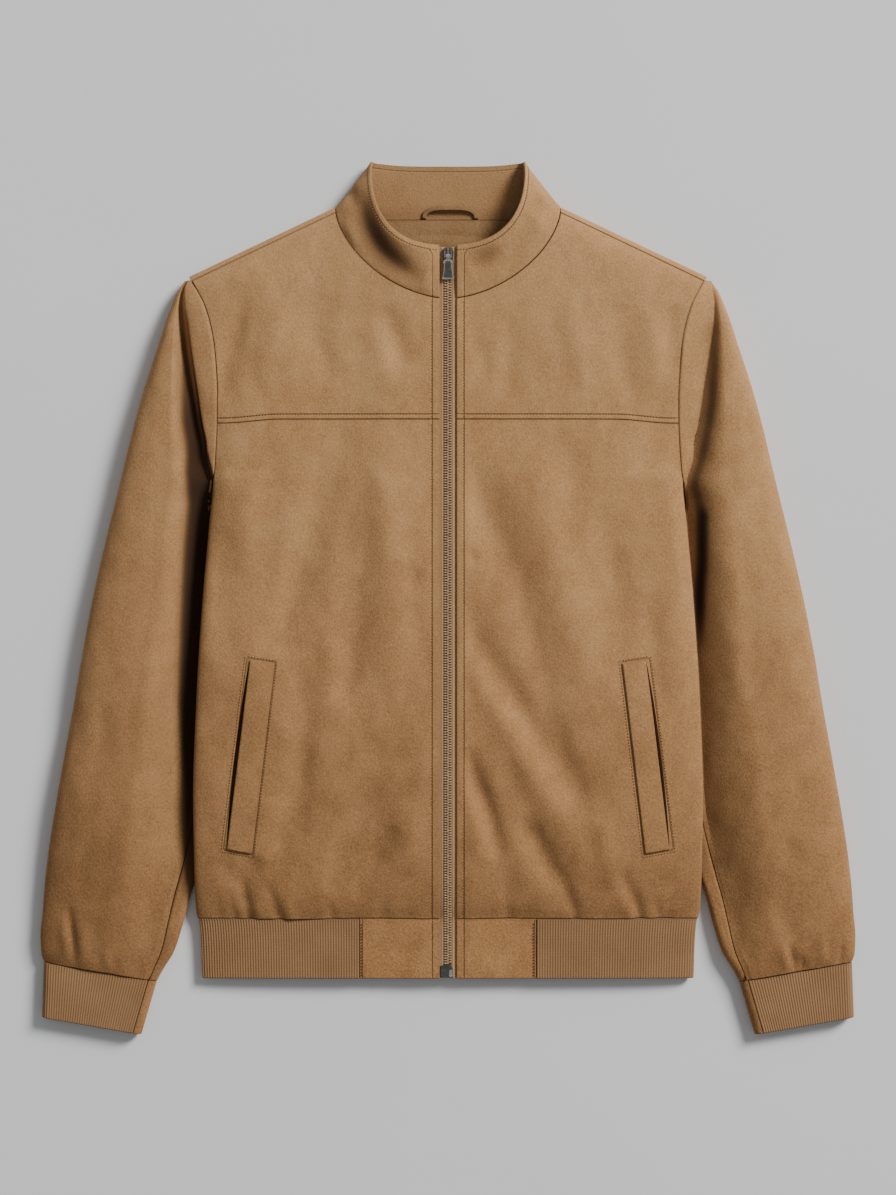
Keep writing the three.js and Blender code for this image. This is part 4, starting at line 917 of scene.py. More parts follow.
# %% One section of a sleeve
def sleeve_section(y, side):
    cut = {name: float(curve(y)) for name, curve in SLEEVE.items()}
    sunk = VALLEY_SUNK * float(ramp(y, -235, -180) * ramp(-y, -UNDERARM, -70))
    low = cut["deep"] - sunk if side < 0 else cut["soft"] - 0.6 * sunk
    hole, opened = float(armhole_x(y)), y >= UNDERARM
    seam_x = hole + GAP if opened else cut["seam"]
    closed_z = float(BODY["side"](y)) - HALF_GAP if y == UNDERARM else 2 * cut["turn"]
    seam_z = float(front_height(np.array(hole), y)) if y > UNDERARM else closed_z
    end_z = float(back_height(np.array(hole), y)) if y > UNDERARM else closed_z
    parted = float(ramp(y, UNDERARM, UNDERARM + UNDERARM_BLEND))
    sharp = parted if side < 0 else 0.0
    width = cut["out"] - cut["valley"]
    valley = cut["valley"] + min(FOLD_DROP * parted, 0.28 * width)
    beside_x = mix(mix(seam_x, valley, 0.5), cut["valley"], sharp)
    beside_z = mix(seam_z, low, mix(0.42, 0.13, sharp))
    # From the seam down to the valley
    first = np.linspace(0, 1, 13)
    x = [curve_through((0, 0.5, 1), (seam_x, beside_x, valley))(first)]
    z = [curve_through((0, 0.5, 1), (seam_z, beside_z, low))(first)]
    # Over the crest to the outer edge
    step = (1 - np.cos(np.linspace(0, math.pi, 56)[1:])) / 2
    rising = np.minimum(1, step / CREST_PLACE)
    falling = np.clip((step - CREST_PLACE) / (1 - CREST_PLACE), 0, 1)
    up = mix(low, cut["crest"], np.sin(rising * math.pi / 2) ** CREST_RISE[side])
    down = mix(cut["edge"], cut["crest"], (1 - falling**EDGE_SQUARE) ** (1 / EDGE_SQUARE))
    x.append(mix(valley, cut["out"], step))
    z.append(np.where(step < CREST_PLACE, up, down))
    # Round the outer fold to the floor
    reach = min(1.2 * cut["edge"], 0.45 * (cut["out"] - cut["inner"]))
    angle = np.linspace(0, math.pi / 2, 8)[1:]
    x.append(cut["out"] - reach * (1 - np.cos(angle)))
    z.append(cut["edge"] * (1 - np.sin(angle)))
    # Along the floor, and up to the seam from below
    inner_x = seam_x if opened else cut["inner"]
    tucked = y < TUCK_START
    eased = min(UNDERARM_EASE, 0.4 * width)
    reach_in = cut["turn"] if tucked else mix(0.7 * max(end_z, 4), eased, parted)
    x.append(np.linspace(cut["out"] - reach, inner_x + reach_in, 20)[1:-1])
    z.append(np.zeros(18))
    if tucked:
        angle = np.linspace(0, math.pi, 10)
        x.append(inner_x + reach_in * (1 - np.sin(angle)))
        z.append(cut["turn"] * (1 - np.cos(angle)))
    else:
        away = np.linspace(1, 0.05, 10)
        x.append(inner_x + reach_in * away)
        z.append(end_z * mix(1 - np.sqrt(1 - (1 - away) ** 2), (1 - away) ** 2, parted))
    x_end = inner_x if y > UNDERARM else seam_x
    x.append(np.linspace(x[-1][-1], x_end, 5)[1:])
    z.append(np.linspace(z[-1][-1], end_z, 5)[1:])
    x, z = np.concatenate(x), np.concatenate(z)
    if not opened:             # a slit along the underarm keeps the two edges apart
        x[0] += 0.2
        x[-1] -= 0.2
    return x, z


def sleeve_grid(side):
    levels = np.array([*SLEEVE_ROWS, *(y for y, _ in ARMHOLE)])
    sections = np.array([sleeve_section(float(y), side) for y in levels])
    rows = levels[0] + spaced(levels[-1] - levels[0], 3.1)
    x, z = (np.stack([curve_through(levels, column)(rows) for column in sections[:, k].T])
            for k in (0, 1))
    out, inner, drop = (SLEEVE[name](rows) for name in ("out", "inner", "drop"))
    y = rows - drop * (out - x) / (out - inner)
    return np.stack([side * x, y, z], -1)


# %% Cuff pleats and soft folds
SLEEVE_STRENGTH = 1.3
SLEEVE_DETAIL = [
    (-2.0, 3.2, [(-341, -277), (-338, -300), (-335.4, -329)]),
    (1.0, 4.5, [(-346, -285), (-343, -325)]),
    (0.8, 5.0, [(-329, -290), (-327, -330)]), (-0.9, 4.0, [(-304, -323), (-296, -335)]),
    (-0.7, 3.5, [(-316, -318), (-311, -333)]), (0.6, 4.0, [(-310, -318), (-303, -334)]),
    (-1.4, 9.0, [(291.6, -265), (303, -290), (312, -318)]), (-1.8, 3.2, [(306, -312), (314, -338)]),
    (-1.4, 2.8, [(317, -322), (320, -337)]), (1.0, 4.0, [(300, -312), (306, -336)]),
    (-1.4, 3.0, [(356, -312), (351.7, -331)]), (1.0, 4.5, [(335, -305), (338, -332)]),
    (-1.0, 10.0, [(300, -210), (318, -250)]), (0.8, 12.0, [(275, -120), (290, -220)]),
    (-0.8, 12.0, [(262, 20), (278, -90)]), (0.9, 14.0, [(252, 150), (268, 40)]),
    (-0.9, 10.0, [(-258, 40), (-268, -60)]), (0.8, 12.0, [(-252, 30), (-246, -90)]),
    (-0.8, 12.0, [(-300, -60), (-318, -170)]), (0.9, 12.0, [(-282, -160), (-292, -250)]),
    (-0.8, 8.0, [(-322, -215), (-333, -262)]),
]

print("folds of the sleeves:", len(SLEEVE_DETAIL))

# %% Where the sleeves lie in shade
# The far sleeve lies in a deep shadow beside the body: how far it reaches, and how dark
DEEP_REACH = curve_through(
    (-290, -272, -182, -92, -2, 101, 146, 191, 236, 262), (4, 6, 5, 12, 15, 16, 15, 11, 6, 3))
DEEP_STRENGTH = curve_through(
    (-285, -262, -182, 150, 200, 236, 272), (0, 1.2, 1.9, 1.85, 1.5, 1.2, 0))
# The near sleeve has a narrow crease: its distance from the middle, and how dark
CREASE_PLACE = curve_through(
    (-92, -50, -2, 35, 70, 88, 101, 124, 146, 169, 191, 214, 236, 262),
    (226.5, 226.6, 227, 229, 229, 225.5, 222.3, 228, 232.6, 236.7, 238.5, 240, 238.5, 236))
CREASE_STRENGTH = curve_through(
    (-110, -55, -2, 70, 88, 146, 214, 236, 268), (0, 1.0, 2.0, 2.0, 1.4, 1.4, 1.2, 0.8, 0))
FAR_SLEEVE_DIM = 0.28
NEAR_EDGE_DIM = 0.75


def fading(distance, width):
    """1 at no distance, falling away beside it like a soft shadow."""
    return np.exp(-((distance / width) ** 2))


def sleeve_shade(side, x, y):
    """How deep in shadow the sleeve lies, from the body's edge or its own fold outwards."""
    beside = np.abs(x) - mix(BODY["half"](y), SLEEVE["valley"](y), ramp(y, 75, 120))
    if side < 0:
        deep = DEEP_STRENGTH(y) * fading(np.maximum(0, beside - DEEP_REACH(y)), 8)
        strip = 0.55 * fading(beside, 8) * ramp(y, UNDERARM, 130)
        above = ramp(y, UNDERARM, UNDERARM + 28)
        beyond = ramp(beside, mix(-6.0, 0.2, above), mix(-4.0, 1.0, above))
        return np.maximum(FAR_SLEEVE_DIM, mix(strip, deep, beyond))
    crease = CREASE_STRENGTH(y) * fading(np.abs(x) - CREASE_PLACE(y), 7.5)
    low_arm = ramp(y, -278, -240) * ramp(-y, -60, 10)
    return np.maximum(crease, NEAR_EDGE_DIM * fading(np.maximum(0, beside - 3), 9) * low_arm)


# %% Sleeves
for side_name, side in SIDES:
    grid = sleeve_grid(side)
    x, y = grid[..., 0], grid[..., 1]
    upper = np.clip(grid_normals(grid, "out")[..., 2] * 1.6, 0, 1)
    folds = SLEEVE_STRENGTH * creases(x, y, SLEEVE_DETAIL, "soft")
    part = cloth(grid, CLOTH, facing="out", relief=(surface_relief(x, y, 1.1) + folds) * upper,
                 turned=0.45, dim=sleeve_shade(side, x, y) * upper, edge_dim=0.45)
    name = f"sleeve_{side_name}"
    sleeve = place(f"{name}_suede", [part], SUEDE, [name])
    declare_cut(grid)

# %% [markdown]
# ## Rib knit
# The hem and cuffs are rib knit: fine upright ridges of stitches. The ridges are modelled,
# because their edge shows at the hem, and the loops between them are left to the
# material. It reads how far each point is across and along its rib.

# %% Rib material
RIB_SHADES = [(0.2, (0.19, 0.094, 0.038)), (0.5, (0.305, 0.162, 0.072)),
              (0.8, (0.42, 0.238, 0.112))]
LOOP_SLANT = 1.3               # how far each loop leans, in loops across half a rib
LOOPS_PER_MM = 0.72


def rib_knit():
    material, tree, shader = new_material("rib_knit", 0.92, specular=0.2, sheen=0.12)
    even = stretched(tree)
    across = math_node(tree, "FRACT", attribute(tree, "rib_across"))
    slope = math_node(tree, "ABSOLUTE", math_node(tree, "SUBTRACT", across, 0.5))
    along = math_node(tree, "MULTIPLY", attribute(tree, "rib_along"), LOOPS_PER_MM)
    along = math_node(tree, "MULTIPLY_ADD", slope, LOOP_SLANT, along)
    loops = math_node(tree, "SINE", math_node(tree, "MULTIPLY", along, 2 * math.pi))
    valley = math_node(tree, "POWER", math_node(tree, "MULTIPLY", slope, 2.0), 2.5)
    fuzz = noise(tree, even, 1500, 3)
    tone = weighted(tree, (fuzz, 0.6), (noise(tree, even, 30, 3), 0.3))
    tone = math_node(tree, "MULTIPLY_ADD", loops, 0.06, tone)
    shadow = math_node(tree, "MAXIMUM", math_node(tree, "MULTIPLY", valley, 0.28),
                       math_node(tree, "MULTIPLY", attribute(tree, "shade"), 0.7))
    paint(tree, shader, darken(tree, colour_ramp(tree, tone, RIB_SHADES), shadow, SEAM_SHADOW))
    bump(tree, shader, math_node(tree, "MULTIPLY_ADD", loops, 0.25, fuzz), 0.4, 0.7)
    return material


RIB_KNIT = rib_knit()
RIB_PITCH = 2.35
RIB_RAISE = 0.5
RIB_LINES = 6                  # grid lines that draw one rib
print("ribs round half of the hem:", round(2 * BODY["half"](HEM_TOP) / RIB_PITCH))


def rib_part(points, facing, across):
    """A ribbed band. across counts ribs; on the floor side the ribs are cut in, not raised."""
    normal = grid_normals(points, facing)
    wave = 0.5 - 0.5 * np.cos(2 * math.pi * across)
    floor_side = np.clip(0.5 - 0.5 * normal[..., 2], 0, 1)
    relief = RIB_RAISE * (wave - floor_side)
    along = line_lengths(points)[2]
    marks = {"rib_across": across * np.ones_like(along), "rib_along": along}
    return cloth(points, RIB_CLOTH, facing, relief, edges="BT", marks=marks)


# %% Hem band
TAB_END = 80.0
HEM_RIB_TOP = HEM_TOP - HALF_GAP


HEM_RIBS_FRONT, HEM_RIBS_BACK = 61, 94
HEM_SIDE_PLACES = (0.15, 0.5, 1.0, 1.7, 2.6, 3.8)      # of the back's first lines, from the side


def hem_rib_grid():
    """The band from one tab round the back to the other: a half, its middle and its mirror."""
    rows = HEM_BOTTOM + spaced(HEM_RIB_TOP - HEM_BOTTOM, 4.5)
    share = np.linspace(0, 1, HEM_RIBS_FRONT * RIB_LINES + 1)
    from_side = np.concatenate([HEM_SIDE_PLACES, np.linspace(5, 221.5, HEM_RIBS_BACK * RIB_LINES)])
    front_half, back_half = [], []
    for y in rows:
        half = float(BODY["half"](y))
        x = mix(TAB_END + HALF_GAP, half, 1 - (1 - share) ** 1.15)
        front_half.append(on_front(x, np.full_like(x, y)))
        x = np.maximum(0, half - from_side)
        back_half.append(on_back(x, np.full_like(x, y)))
    front_half, back_half = np.stack(front_half, 1), np.stack(back_half, 1)
    middle = back_half[-1:] * np.array([0, 1, 1])
    half = np.concatenate([front_half, back_half[:-1]])
    return np.concatenate([half * MIRROR, middle, half[::-1]])


grid = hem_rib_grid()
run_across = line_lengths(grid)[0].mean(1)
part = rib_part(grid, "out", (run_across / RIB_PITCH)[:, None])
hem_rib = place("hem_rib_knit", [part], RIB_KNIT, ["hem_rib"])
declare_cut(grid)


# %% Hem tabs
TAB_STITCH = 77.4


def hem_tab_grid(side):
    x = FRONT_EDGE + spaced(TAB_END - HALF_GAP - FRONT_EDGE, 2.6)
    y = HEM_BOTTOM + spaced(HEM_RIB_TOP - HEM_BOTTOM, 2.6)
    x, y = np.meshgrid(x, y, indexing="ij")
    return on_front(side * x, y)


for side_name, side in SIDES:
    grid = hem_tab_grid(side)
    x, y = grid[..., 0], grid[..., 1]
    marks = {"line_a": np.abs(x) - PLACKET_STITCH, "line_b": np.abs(x) - TAB_STITCH}
    relief = surface_relief(x, y, 0.6) * ramp(np.abs(x), 10, 20)
    part = cloth(grid, CLOTH, relief=relief, marks=marks)
    name = f"hem_tab_{side_name}"
    tab = place(f"{name}_suede", [part], SUEDE_TAB, [name])
    declare_cut(grid)

# %% [markdown]
# ## Cuffs
# Each cuff is a flat rib tube, narrower at the hand, closed at its inner edge by a plain
# suede strip. Both follow one path round the tube, so their edges meet.

# %% Paths round a cuff
CUFF_TURN = 6.5                # radius of its turned edges
CUFF_STRIP = 7.6
CUFF_OUTER = np.array([(364.5, -329.4), (366.3, -378.9)])
CUFF_INNER = np.array([(262.8, -346.5), (276.8, -394.5)])
CUFF_RIBS_FLAT = 36
CUFF_RIBS_TURN = 9


def cuff_grid(side, path):
    """path gives the place across and the height of each point, for a cuff's width."""
    columns = []
    for step in spaced(50, 3.4) / 50:
        outer, inner = mix(*CUFF_OUTER, step), mix(*CUFF_INNER, step)
        width = np.linalg.norm(outer - inner)
        across, z = path(width)
        spot = inner + (outer - inner) / width * across[:, None]
        columns.append(np.column_stack([side * spot[:, 0], spot[:, 1], z]))
    return np.stack(columns, 1)


def around_rib(width):
    lines = CUFF_RIBS_FLAT * RIB_LINES + 1
    flat = np.linspace(CUFF_STRIP + HALF_GAP, width - CUFF_TURN, lines)
    angle = np.linspace(0, math.pi, CUFF_RIBS_TURN * RIB_LINES + 1)[1:-1]
    across = np.concatenate([flat, width - CUFF_TURN * (1 - np.sin(angle)), flat[::-1]])
    turn = CUFF_TURN * (1 + np.cos(angle))
    return across, np.concatenate([np.full(lines, 2 * CUFF_TURN), turn, np.zeros(lines)])


def around_strip(_):
    edge = CUFF_STRIP - HALF_GAP
    angle = np.linspace(0, math.pi, 19)
    turn = CUFF_TURN * (1 - np.sin(angle))
    across = np.concatenate([[edge, edge - 0.6], turn, [edge - 0.6, edge]])
    return across, np.concatenate([[0, 0], CUFF_TURN * (1 - np.cos(angle)), [2 * CUFF_TURN] * 2])


# %% Cuff ribs and strips
for side_name, side in SIDES:
    grid = cuff_grid(side, around_rib)
    part = rib_part(grid, "out", (np.arange(grid.shape[0]) / RIB_LINES)[:, None])
    rib = place(f"cuff_{side_name}_knit", [part], RIB_KNIT, [f"cuff_rib_{side_name}"])
    declare_cut(grid)
    grid = cuff_grid(side, around_strip)
    name = f"cuff_strip_{side_name}"
    part = cloth(grid, CLOTH, facing="out", turned=0.6)
    strip = place(f"{name}_suede", [part], SUEDE, [name])
    declare_cut(grid)

# %% [markdown]
# ## Collar
# A stand collar runs from one zip edge round the back of the neck to the other. At the
# front it lies over the neck with its rim rolled up. Spokes from the neck seam to the rim
# carry the grid, so the seam and the rim keep their own curves.

# %% The collar's rim
RIM_WIDTH, RIM_DEPTH, RIM_LEVEL = 69.3, 77.4, 393.3
RIM_POWER = 2.6                # how square the rim's curve is in front
RIM_DIP = 4.0                  # of the rim behind the neck
RIM_RISE = 6.5                 # how far the rim rolls up in front
COLLAR_BULGE = 1.4
COLLAR_SPOKES = (88, 8, 32)    # in front, round the fold and behind
TIP_ROUNDING = 4.5
collar_run = np.array([RIM_WIDTH, RIM_LEVEL]) - NECK_POINT
collar_run = collar_run / np.linalg.norm(collar_run)


def inside_collar_fold(x, y):
    return (NECK_POINT[0] - np.abs(x)) * collar_run[1] + (NECK_POINT[1] - y) * -collar_run[0]


def front_rim(degrees):
    angle = np.radians(degrees)
    x = np.maximum(FRONT_EDGE, RIM_WIDTH * np.sin(angle) ** (2 / RIM_POWER))
    y = RIM_LEVEL - RIM_DEPTH * np.cos(angle) ** (2 / RIM_POWER)
    level = BODY["top"](y) + RIM_RISE * np.sin(2 * angle)
    return np.stack([x, y, mix(FOLD_HEIGHT, level, roll_in(inside_collar_fold(x, y)))], -1)


def back_rim(neck_x):
    share = neck_x / NECK_WIDTH
    x = RIM_WIDTH * share
    y = RIM_LEVEL - RIM_DIP * (1 - share**4)
    return np.stack([x, y, curl(inside_collar_fold(x, y), FOLD_HEIGHT)], -1)


def rounded_corner(run, corner):
    """The run of points with one corner softened by averaging its neighbours."""
    lengths = path_lengths(run)
    share, soft = np.gradient(lengths)[:, None], run.copy()
    for i, away in enumerate(np.abs(lengths - lengths[corner])):
        width = TIP_ROUNDING * max(0.0, 1 - away / (3 * TIP_ROUNDING))
        if width > 0.2:
            weight = np.exp(-(((lengths - lengths[i]) / width) ** 2))[:, None] * share
            soft[i] = (weight * run).sum(0) / weight.sum()
    return soft


def collar_grid():
    start = neck_start(HALF_GAP)
    in_front, round_fold, behind = COLLAR_SPOKES
    near_zip = start + EDGE[:-1] * np.array(0.6)
    angles = np.concatenate([near_zip, np.linspace(start + 1.6, 90, in_front)])
    rim_start = math.degrees(math.asin((FRONT_EDGE / RIM_WIDTH) ** (RIM_POWER / 2)))
    rim_angles = 90 - (90 - angles) * (90 - rim_start) / (90 - start)
    seam = neck_seam(np.minimum(angles, 89.99), HALF_GAP)
    neck_front = on_front(seam[:, 0], seam[:, 1])
    places = np.concatenate([np.linspace(101.4, 96, round_fold), np.linspace(93, 0, behind)])
    neck = np.concatenate([neck_front, on_back(places, back_neck_y(places) + HALF_GAP)])
    rim = np.concatenate([front_rim(np.minimum(rim_angles, 89.99)), back_rim(places)])
    rim = rounded_corner(rim, len(neck_front))
    step = spaced(50, 2.0) / 50
    points = mix(neck[:, None], rim[:, None], step[None, :, None])
    bulge = np.where(np.arange(len(neck)) < len(neck_front), COLLAR_BULGE, 0.0)[:, None]
    folded = roll_in(inside_collar_fold(points[..., 0], points[..., 1]))
    points[..., 2] += bulge * np.sin(math.pi * step) * folded
    return np.concatenate([points, points[-2::-1] * MIRROR]), len(neck_front)


# %% Folds and shade of the collar
RIM_STITCH = 5.0
COLLAR_DETAIL = [
    (-5.0, 9.5, [(-83, 368), (-79, 346), (-71, 324), (-57, 304), (-36, 289), (-22, 284)]),
    (-1.6, 5.0, [(-88, 372), (-88, 350)]), (1.2, 6.0, [(-93, 338), (-82, 312)]),
    (-3.4, 9.0, [(78, 338), (62, 315), (42, 300), (20, 291)]), (-1.2, 6.0, [(92, 352), (84, 330)]),
    (1.2, 5.0, [(82, 368), (88, 350)]),
]
COLLAR_SHADE = [
    (0.85, 17.0, [(-78, 366), (-74, 346), (-67, 327), (-54, 309), (-34, 296), (-18, 291)]),
    (0.7, 10.0, [(20, 302), (34, 306), (48, 314)]),
]
CORNER = 6.0                   # where the rim's stitching turns down beside the zip
COLLAR_DIM, COLLAR_SIDE_DIM = 0.16, 0.42               # everywhere, and more on the far side
INSIDE_DIM, INSIDE_LOW_DIM = 0.58, 0.4                 # inside, and more down by the seam
collar_points, front_spokes = collar_grid()
x, y, _ = np.moveaxis(collar_points, 2, 0)
spoke = np.arange(len(collar_points))
on_top = ((spoke < front_spokes) | (spoke >= len(spoke) - front_spokes))[:, None] * np.ones_like(x)
_, _, from_seam, from_rim = line_lengths(collar_points)
dim = creases(x, y, COLLAR_SHADE, "soft") + COLLAR_DIM + COLLAR_SIDE_DIM * ramp(-x, 0, 50)
dim = dim * on_top * ramp(from_rim, 2, 8)
dim += (1 - on_top) * (INSIDE_DIM + INSIDE_LOW_DIM * ramp(-from_seam, -16, -2))
print("the collar's spokes:", len(spoke), "of which in front:", 2 * front_spokes)

# %% Collar
calm = ramp(np.abs(x), 9, 18) * ramp(from_seam, 0, 6) * ramp(from_rim, 1, 7)
collar_relief = (creases(x, y, COLLAR_DETAIL, "soft") + surface_relief(x, y, 0.5)) * on_top * calm
from_zip = np.where(on_top > 0, np.abs(x) - PLACKET_STITCH, FAR)
below_stitch = from_rim - RIM_STITCH
beyond = np.hypot(np.maximum(0, CORNER - from_zip), np.maximum(0, CORNER - below_stitch))
part = cloth(collar_points, COLLAR_CLOTH, facing="out", relief=collar_relief, turned=1.1,
             marks={"line_a": CORNER - beyond}, dim=dim)
collar = place("collar_suede", [part], SUEDE, ["collar"])
declare_cut(collar_points)

# %% [markdown]
# ## Inside the neck
# The facing is a half moon of suede sewn under the back neck seam, and the hanger loop is
# a narrow folded strip above it. Both are seen through the neck opening.

# %% Neck facing
FACING_HALF, FACING_LOW, FACING_TOP, FACING_THICK = 82.0, 284.0, 340.6, 1.2
FACING_FOLDS = [(0.5, 3, [(-30, 322), (34, 320)]), (-0.5, 3, [(-26, 327), (40, 326)])]
x = np.concatenate([[-81.8, -81.2, -80], np.linspace(-78, 78, 53), [80, 81.2, 81.8]])
rise = spaced(57, 2.6) / 57
bottom = FACING_TOP - (FACING_TOP - FACING_LOW) * np.sqrt(1 - (x / FACING_HALF) ** 2)
y = mix(bottom[:, None], FACING_TOP, rise)
x = x[:, None] * np.ones_like(y)
grid = np.stack([x, y, np.full_like(x, CLOTH + GAP + FACING_THICK)], -1)
relief = surface_relief(x, y, 0.5) * 0.5 + creases(x, y, FACING_FOLDS) - 0.1
part = cloth(grid, FACING_THICK, relief=relief, turned=0.5)
facing = place("neck_facing_suede", [part], SUEDE_IN_SHADE, ["neck_facing"])
declare_cut(grid)

# %% Hanger loop
LOOP_MIDDLE, LOOP_HALF = 1.9, 25.5
LOOP_LOW, LOOP_HIGH = 341.6, 353.2
LOOP_WIDTH, LOOP_THICK = 4.1, 1.8
LOOP_LIFT = 2.6                # of its middle, above its sewn ends
LOOP_LINES = np.array([0, 0.35, 0.9, 2.05, 3.2, 3.75, LOOP_WIDTH]) / LOOP_WIDTH
angle = np.linspace(0, math.pi, 61)
flat = np.sign(np.cos(angle)) * np.abs(np.cos(angle)) ** 0.6
bow = np.sin(angle) ** 0.7
inner, outer = (np.stack([LOOP_MIDDLE + (LOOP_HALF - narrower) * flat,
                          LOOP_LOW + (LOOP_HIGH - LOOP_LOW - narrower) * bow], -1)
                for narrower in (LOOP_WIDTH, 0))
strip = mix(inner[:, None], outer[:, None], LOOP_LINES[None, :, None])
height = COLLAR_CLOTH + GAP + LOOP_THICK + LOOP_LIFT * np.sin(angle)[:, None, None] ** 2
grid = np.concatenate([strip, height * np.ones(strip.shape[:2] + (1,))], -1)
part = cloth(grid, LOOP_THICK, turned=0.8)
loop = place("hanger_loop_suede", [part], SUEDE_IN_SHADE, ["hanger_loop"])

# %% [markdown]
# ## Pockets
# Each pocket is a single welt: a narrow strip stitched down on three sides, with the slit
# for the hand along its outer edge. The shade inside the slit is painted: a thin dark sheet
# lies beside the welt.

# %% Places on the pocket
WELT_THICK, WELT_ABOVE = 1.2, 0.4
WELT_ACROSS = (0.02, 0.90)     # of the pocket's width
WELT_DOWN = (0.004, 0.996)
WELT_BOW = 0.5
SLIT_ABOVE, SLIT_THICK = 0.35, 0.3
SLIT_EDGES = (0.875, 0.88)     # where the slit lies across, at its closed ends
SLIT_OPEN = 0.135              # and how much further it gapes at its middle


def welt_place(s, t):
    """Point on the front: s across the welt from its inner edge, t down it."""
    return mix(mix(WELT_TOP[0], WELT_TOP[1], s), mix(WELT_BOTTOM[0], WELT_BOTTOM[1], s), t)


def fine_front(x, y):
    """The front as its dressed piece has it, with all its folds."""
    return front_height(x, y) + front_relief(x, y)


def on_fine_front(side, spots, lift):
    x, y = side * spots[..., 0], spots[..., 1]
    return np.stack([x, y, fine_front(x, y) + lift], -1)


# %% A plain finish, mottled between two shades
def mottled(name, roughness, grain, shades, specular=0.5, rough=0.0):
    material, tree, shader = new_material(name, roughness, specular=specular)
    tone = noise(tree, stretched(tree), grain, 2)
    paint(tree, shader, colour_ramp(tree, tone, list(zip((0.3, 0.7), shades))))
    if rough:
        bump(tree, shader, tone, rough, 0.4)
    return material


# painted shadow: a near-black finish for the sheet in the pocket's slit
SLIT_SHADOW_FINISH = mottled("painted_slit_shadow", 1.0, 900, [(0.021, 0.0084, 0.0036), (0.035, 0.014, 0.006)],
                      specular=0.1)

# %% Welts and slits
for side_name, side in SIDES:
    s, t = spaced(24, 2.2) / 24, spaced(173, 3) / 173
    spots = welt_place(mix(*WELT_ACROSS, s)[:, None, None], mix(*WELT_DOWN, t)[None, :, None])
    grid = on_fine_front(side, spots, WELT_THICK + WELT_ABOVE)
    bowed = WELT_BOW * np.sin(math.pi * s)[:, None] * np.ones_like(t)
    part = cloth(grid, WELT_THICK, relief=bowed, turned=1.0)
    name = f"pocket_welt_{side_name}"
    welt = place(f"{name}_suede", [part], SUEDE, [name])
    declare_cut(grid)

    # painted shadow: a thin dark sheet in the mouth of the pocket
    t = spaced(170, 4, near=(0, 1, 2), far=(0, 1, 2)) / 170
    gape = SLIT_OPEN * np.sin(math.pi * np.clip(t, 0, 1)) ** 0.6
    spots = np.stack([welt_place(SLIT_EDGES[0], t[:, None]),
                      welt_place((SLIT_EDGES[1] + gape)[:, None], t[:, None])])
    part = cloth(on_fine_front(side, spots, SLIT_ABOVE), SLIT_THICK, turned=0.1)
    place(f"pocket_slit_shadow_{side_name}", [part], SLIT_SHADOW_FINISH)

# %% [markdown]
# ## Topstitching
# Rows of thread run beside the seams, about four stitches to the centimetre. Each stitch
# is a tiny capsule that sinks at both ends. Thousands of objects would be slow, so one
# capsule is copied along every path with numpy, and all stitches share one mesh.

# %% One stitch, copied along paths
STITCH_PITCH = 2.7
STITCH_LENGTH = 1.7
STITCH_RADIUS = 0.42
STITCH_SIDES = 6
STITCH_SINK = 0.25             # of its ends, in millimetres below its middle


def stitch_shape():
    """A capsule: an end point, two rings and an end point."""
    turn = np.linspace(0, 2 * math.pi, STITCH_SIDES, endpoint=False)
    ring = 0.9 * STITCH_RADIUS * np.column_stack([np.cos(turn), np.sin(turn)])
    corners = [(-0.5 * STITCH_LENGTH, 0, -STITCH_SINK)]
    for along in (-0.34, 0.34):
        corners += [(along * STITCH_LENGTH, *spot) for spot in ring]
    corners.append((0.5 * STITCH_LENGTH, 0, -STITCH_SINK))
    faces, last = [], 2 * STITCH_SIDES + 1
    for k in range(STITCH_SIDES):
        near, following = 1 + k, 1 + (k + 1) % STITCH_SIDES
        far, far_following = near + STITCH_SIDES, following + STITCH_SIDES
        faces += [(0, near, following), (near, far, far_following, following),
                  (far, last, far_following)]
    return np.array(corners), faces


def stitch_row(path):
    """Centres and directions of the stitches on a path."""
    lengths = path_lengths(path)
    centres = np.arange(STITCH_PITCH / 2, lengths[-1] - STITCH_PITCH / 3, STITCH_PITCH)
    run = points_at(centres + 0.8, lengths, path) - points_at(centres - 0.8, lengths, path)
    return points_at(centres, lengths, path), unit(run)


def unit(directions):
    return directions / np.maximum(np.linalg.norm(directions, axis=1, keepdims=True), 1e-9)


THREAD = mottled("thread", 0.7, 2500, [(0.055, 0.026, 0.010), (0.12, 0.060, 0.025)], rough=0.1)


def place_stitches(name, paths):
    shape, pattern = stitch_shape()
    corners = []
    for path in paths:
        spot, run = stitch_row(np.asarray(path, float))
        side_way = unit(np.cross([0, 0, 1.0], run))
        axes = np.stack([run, side_way, np.cross(run, side_way)], 1)
        corners.append((spot[:, None] + np.einsum("kc,nci->nki", shape, axes)).reshape(-1, 3))
    corners = np.concatenate(corners)
    starts = range(0, len(corners), len(shape))
    faces = [[start + corner for corner in face] for start in starts for face in pattern]
    print(f"{name}: {len(starts)} stitches")
    return place(name, [(corners, faces)], THREAD)


# %% Paths of the stitching
def fine_yoke(x, y):
    return front_height(x, y) + yoke_relief(x, y)


def lift_path(x, y, height):
    x, y = np.broadcast_arrays(np.asarray(x, float), np.asarray(y, float))
    return np.stack([x, y, height(x, y)], -1)


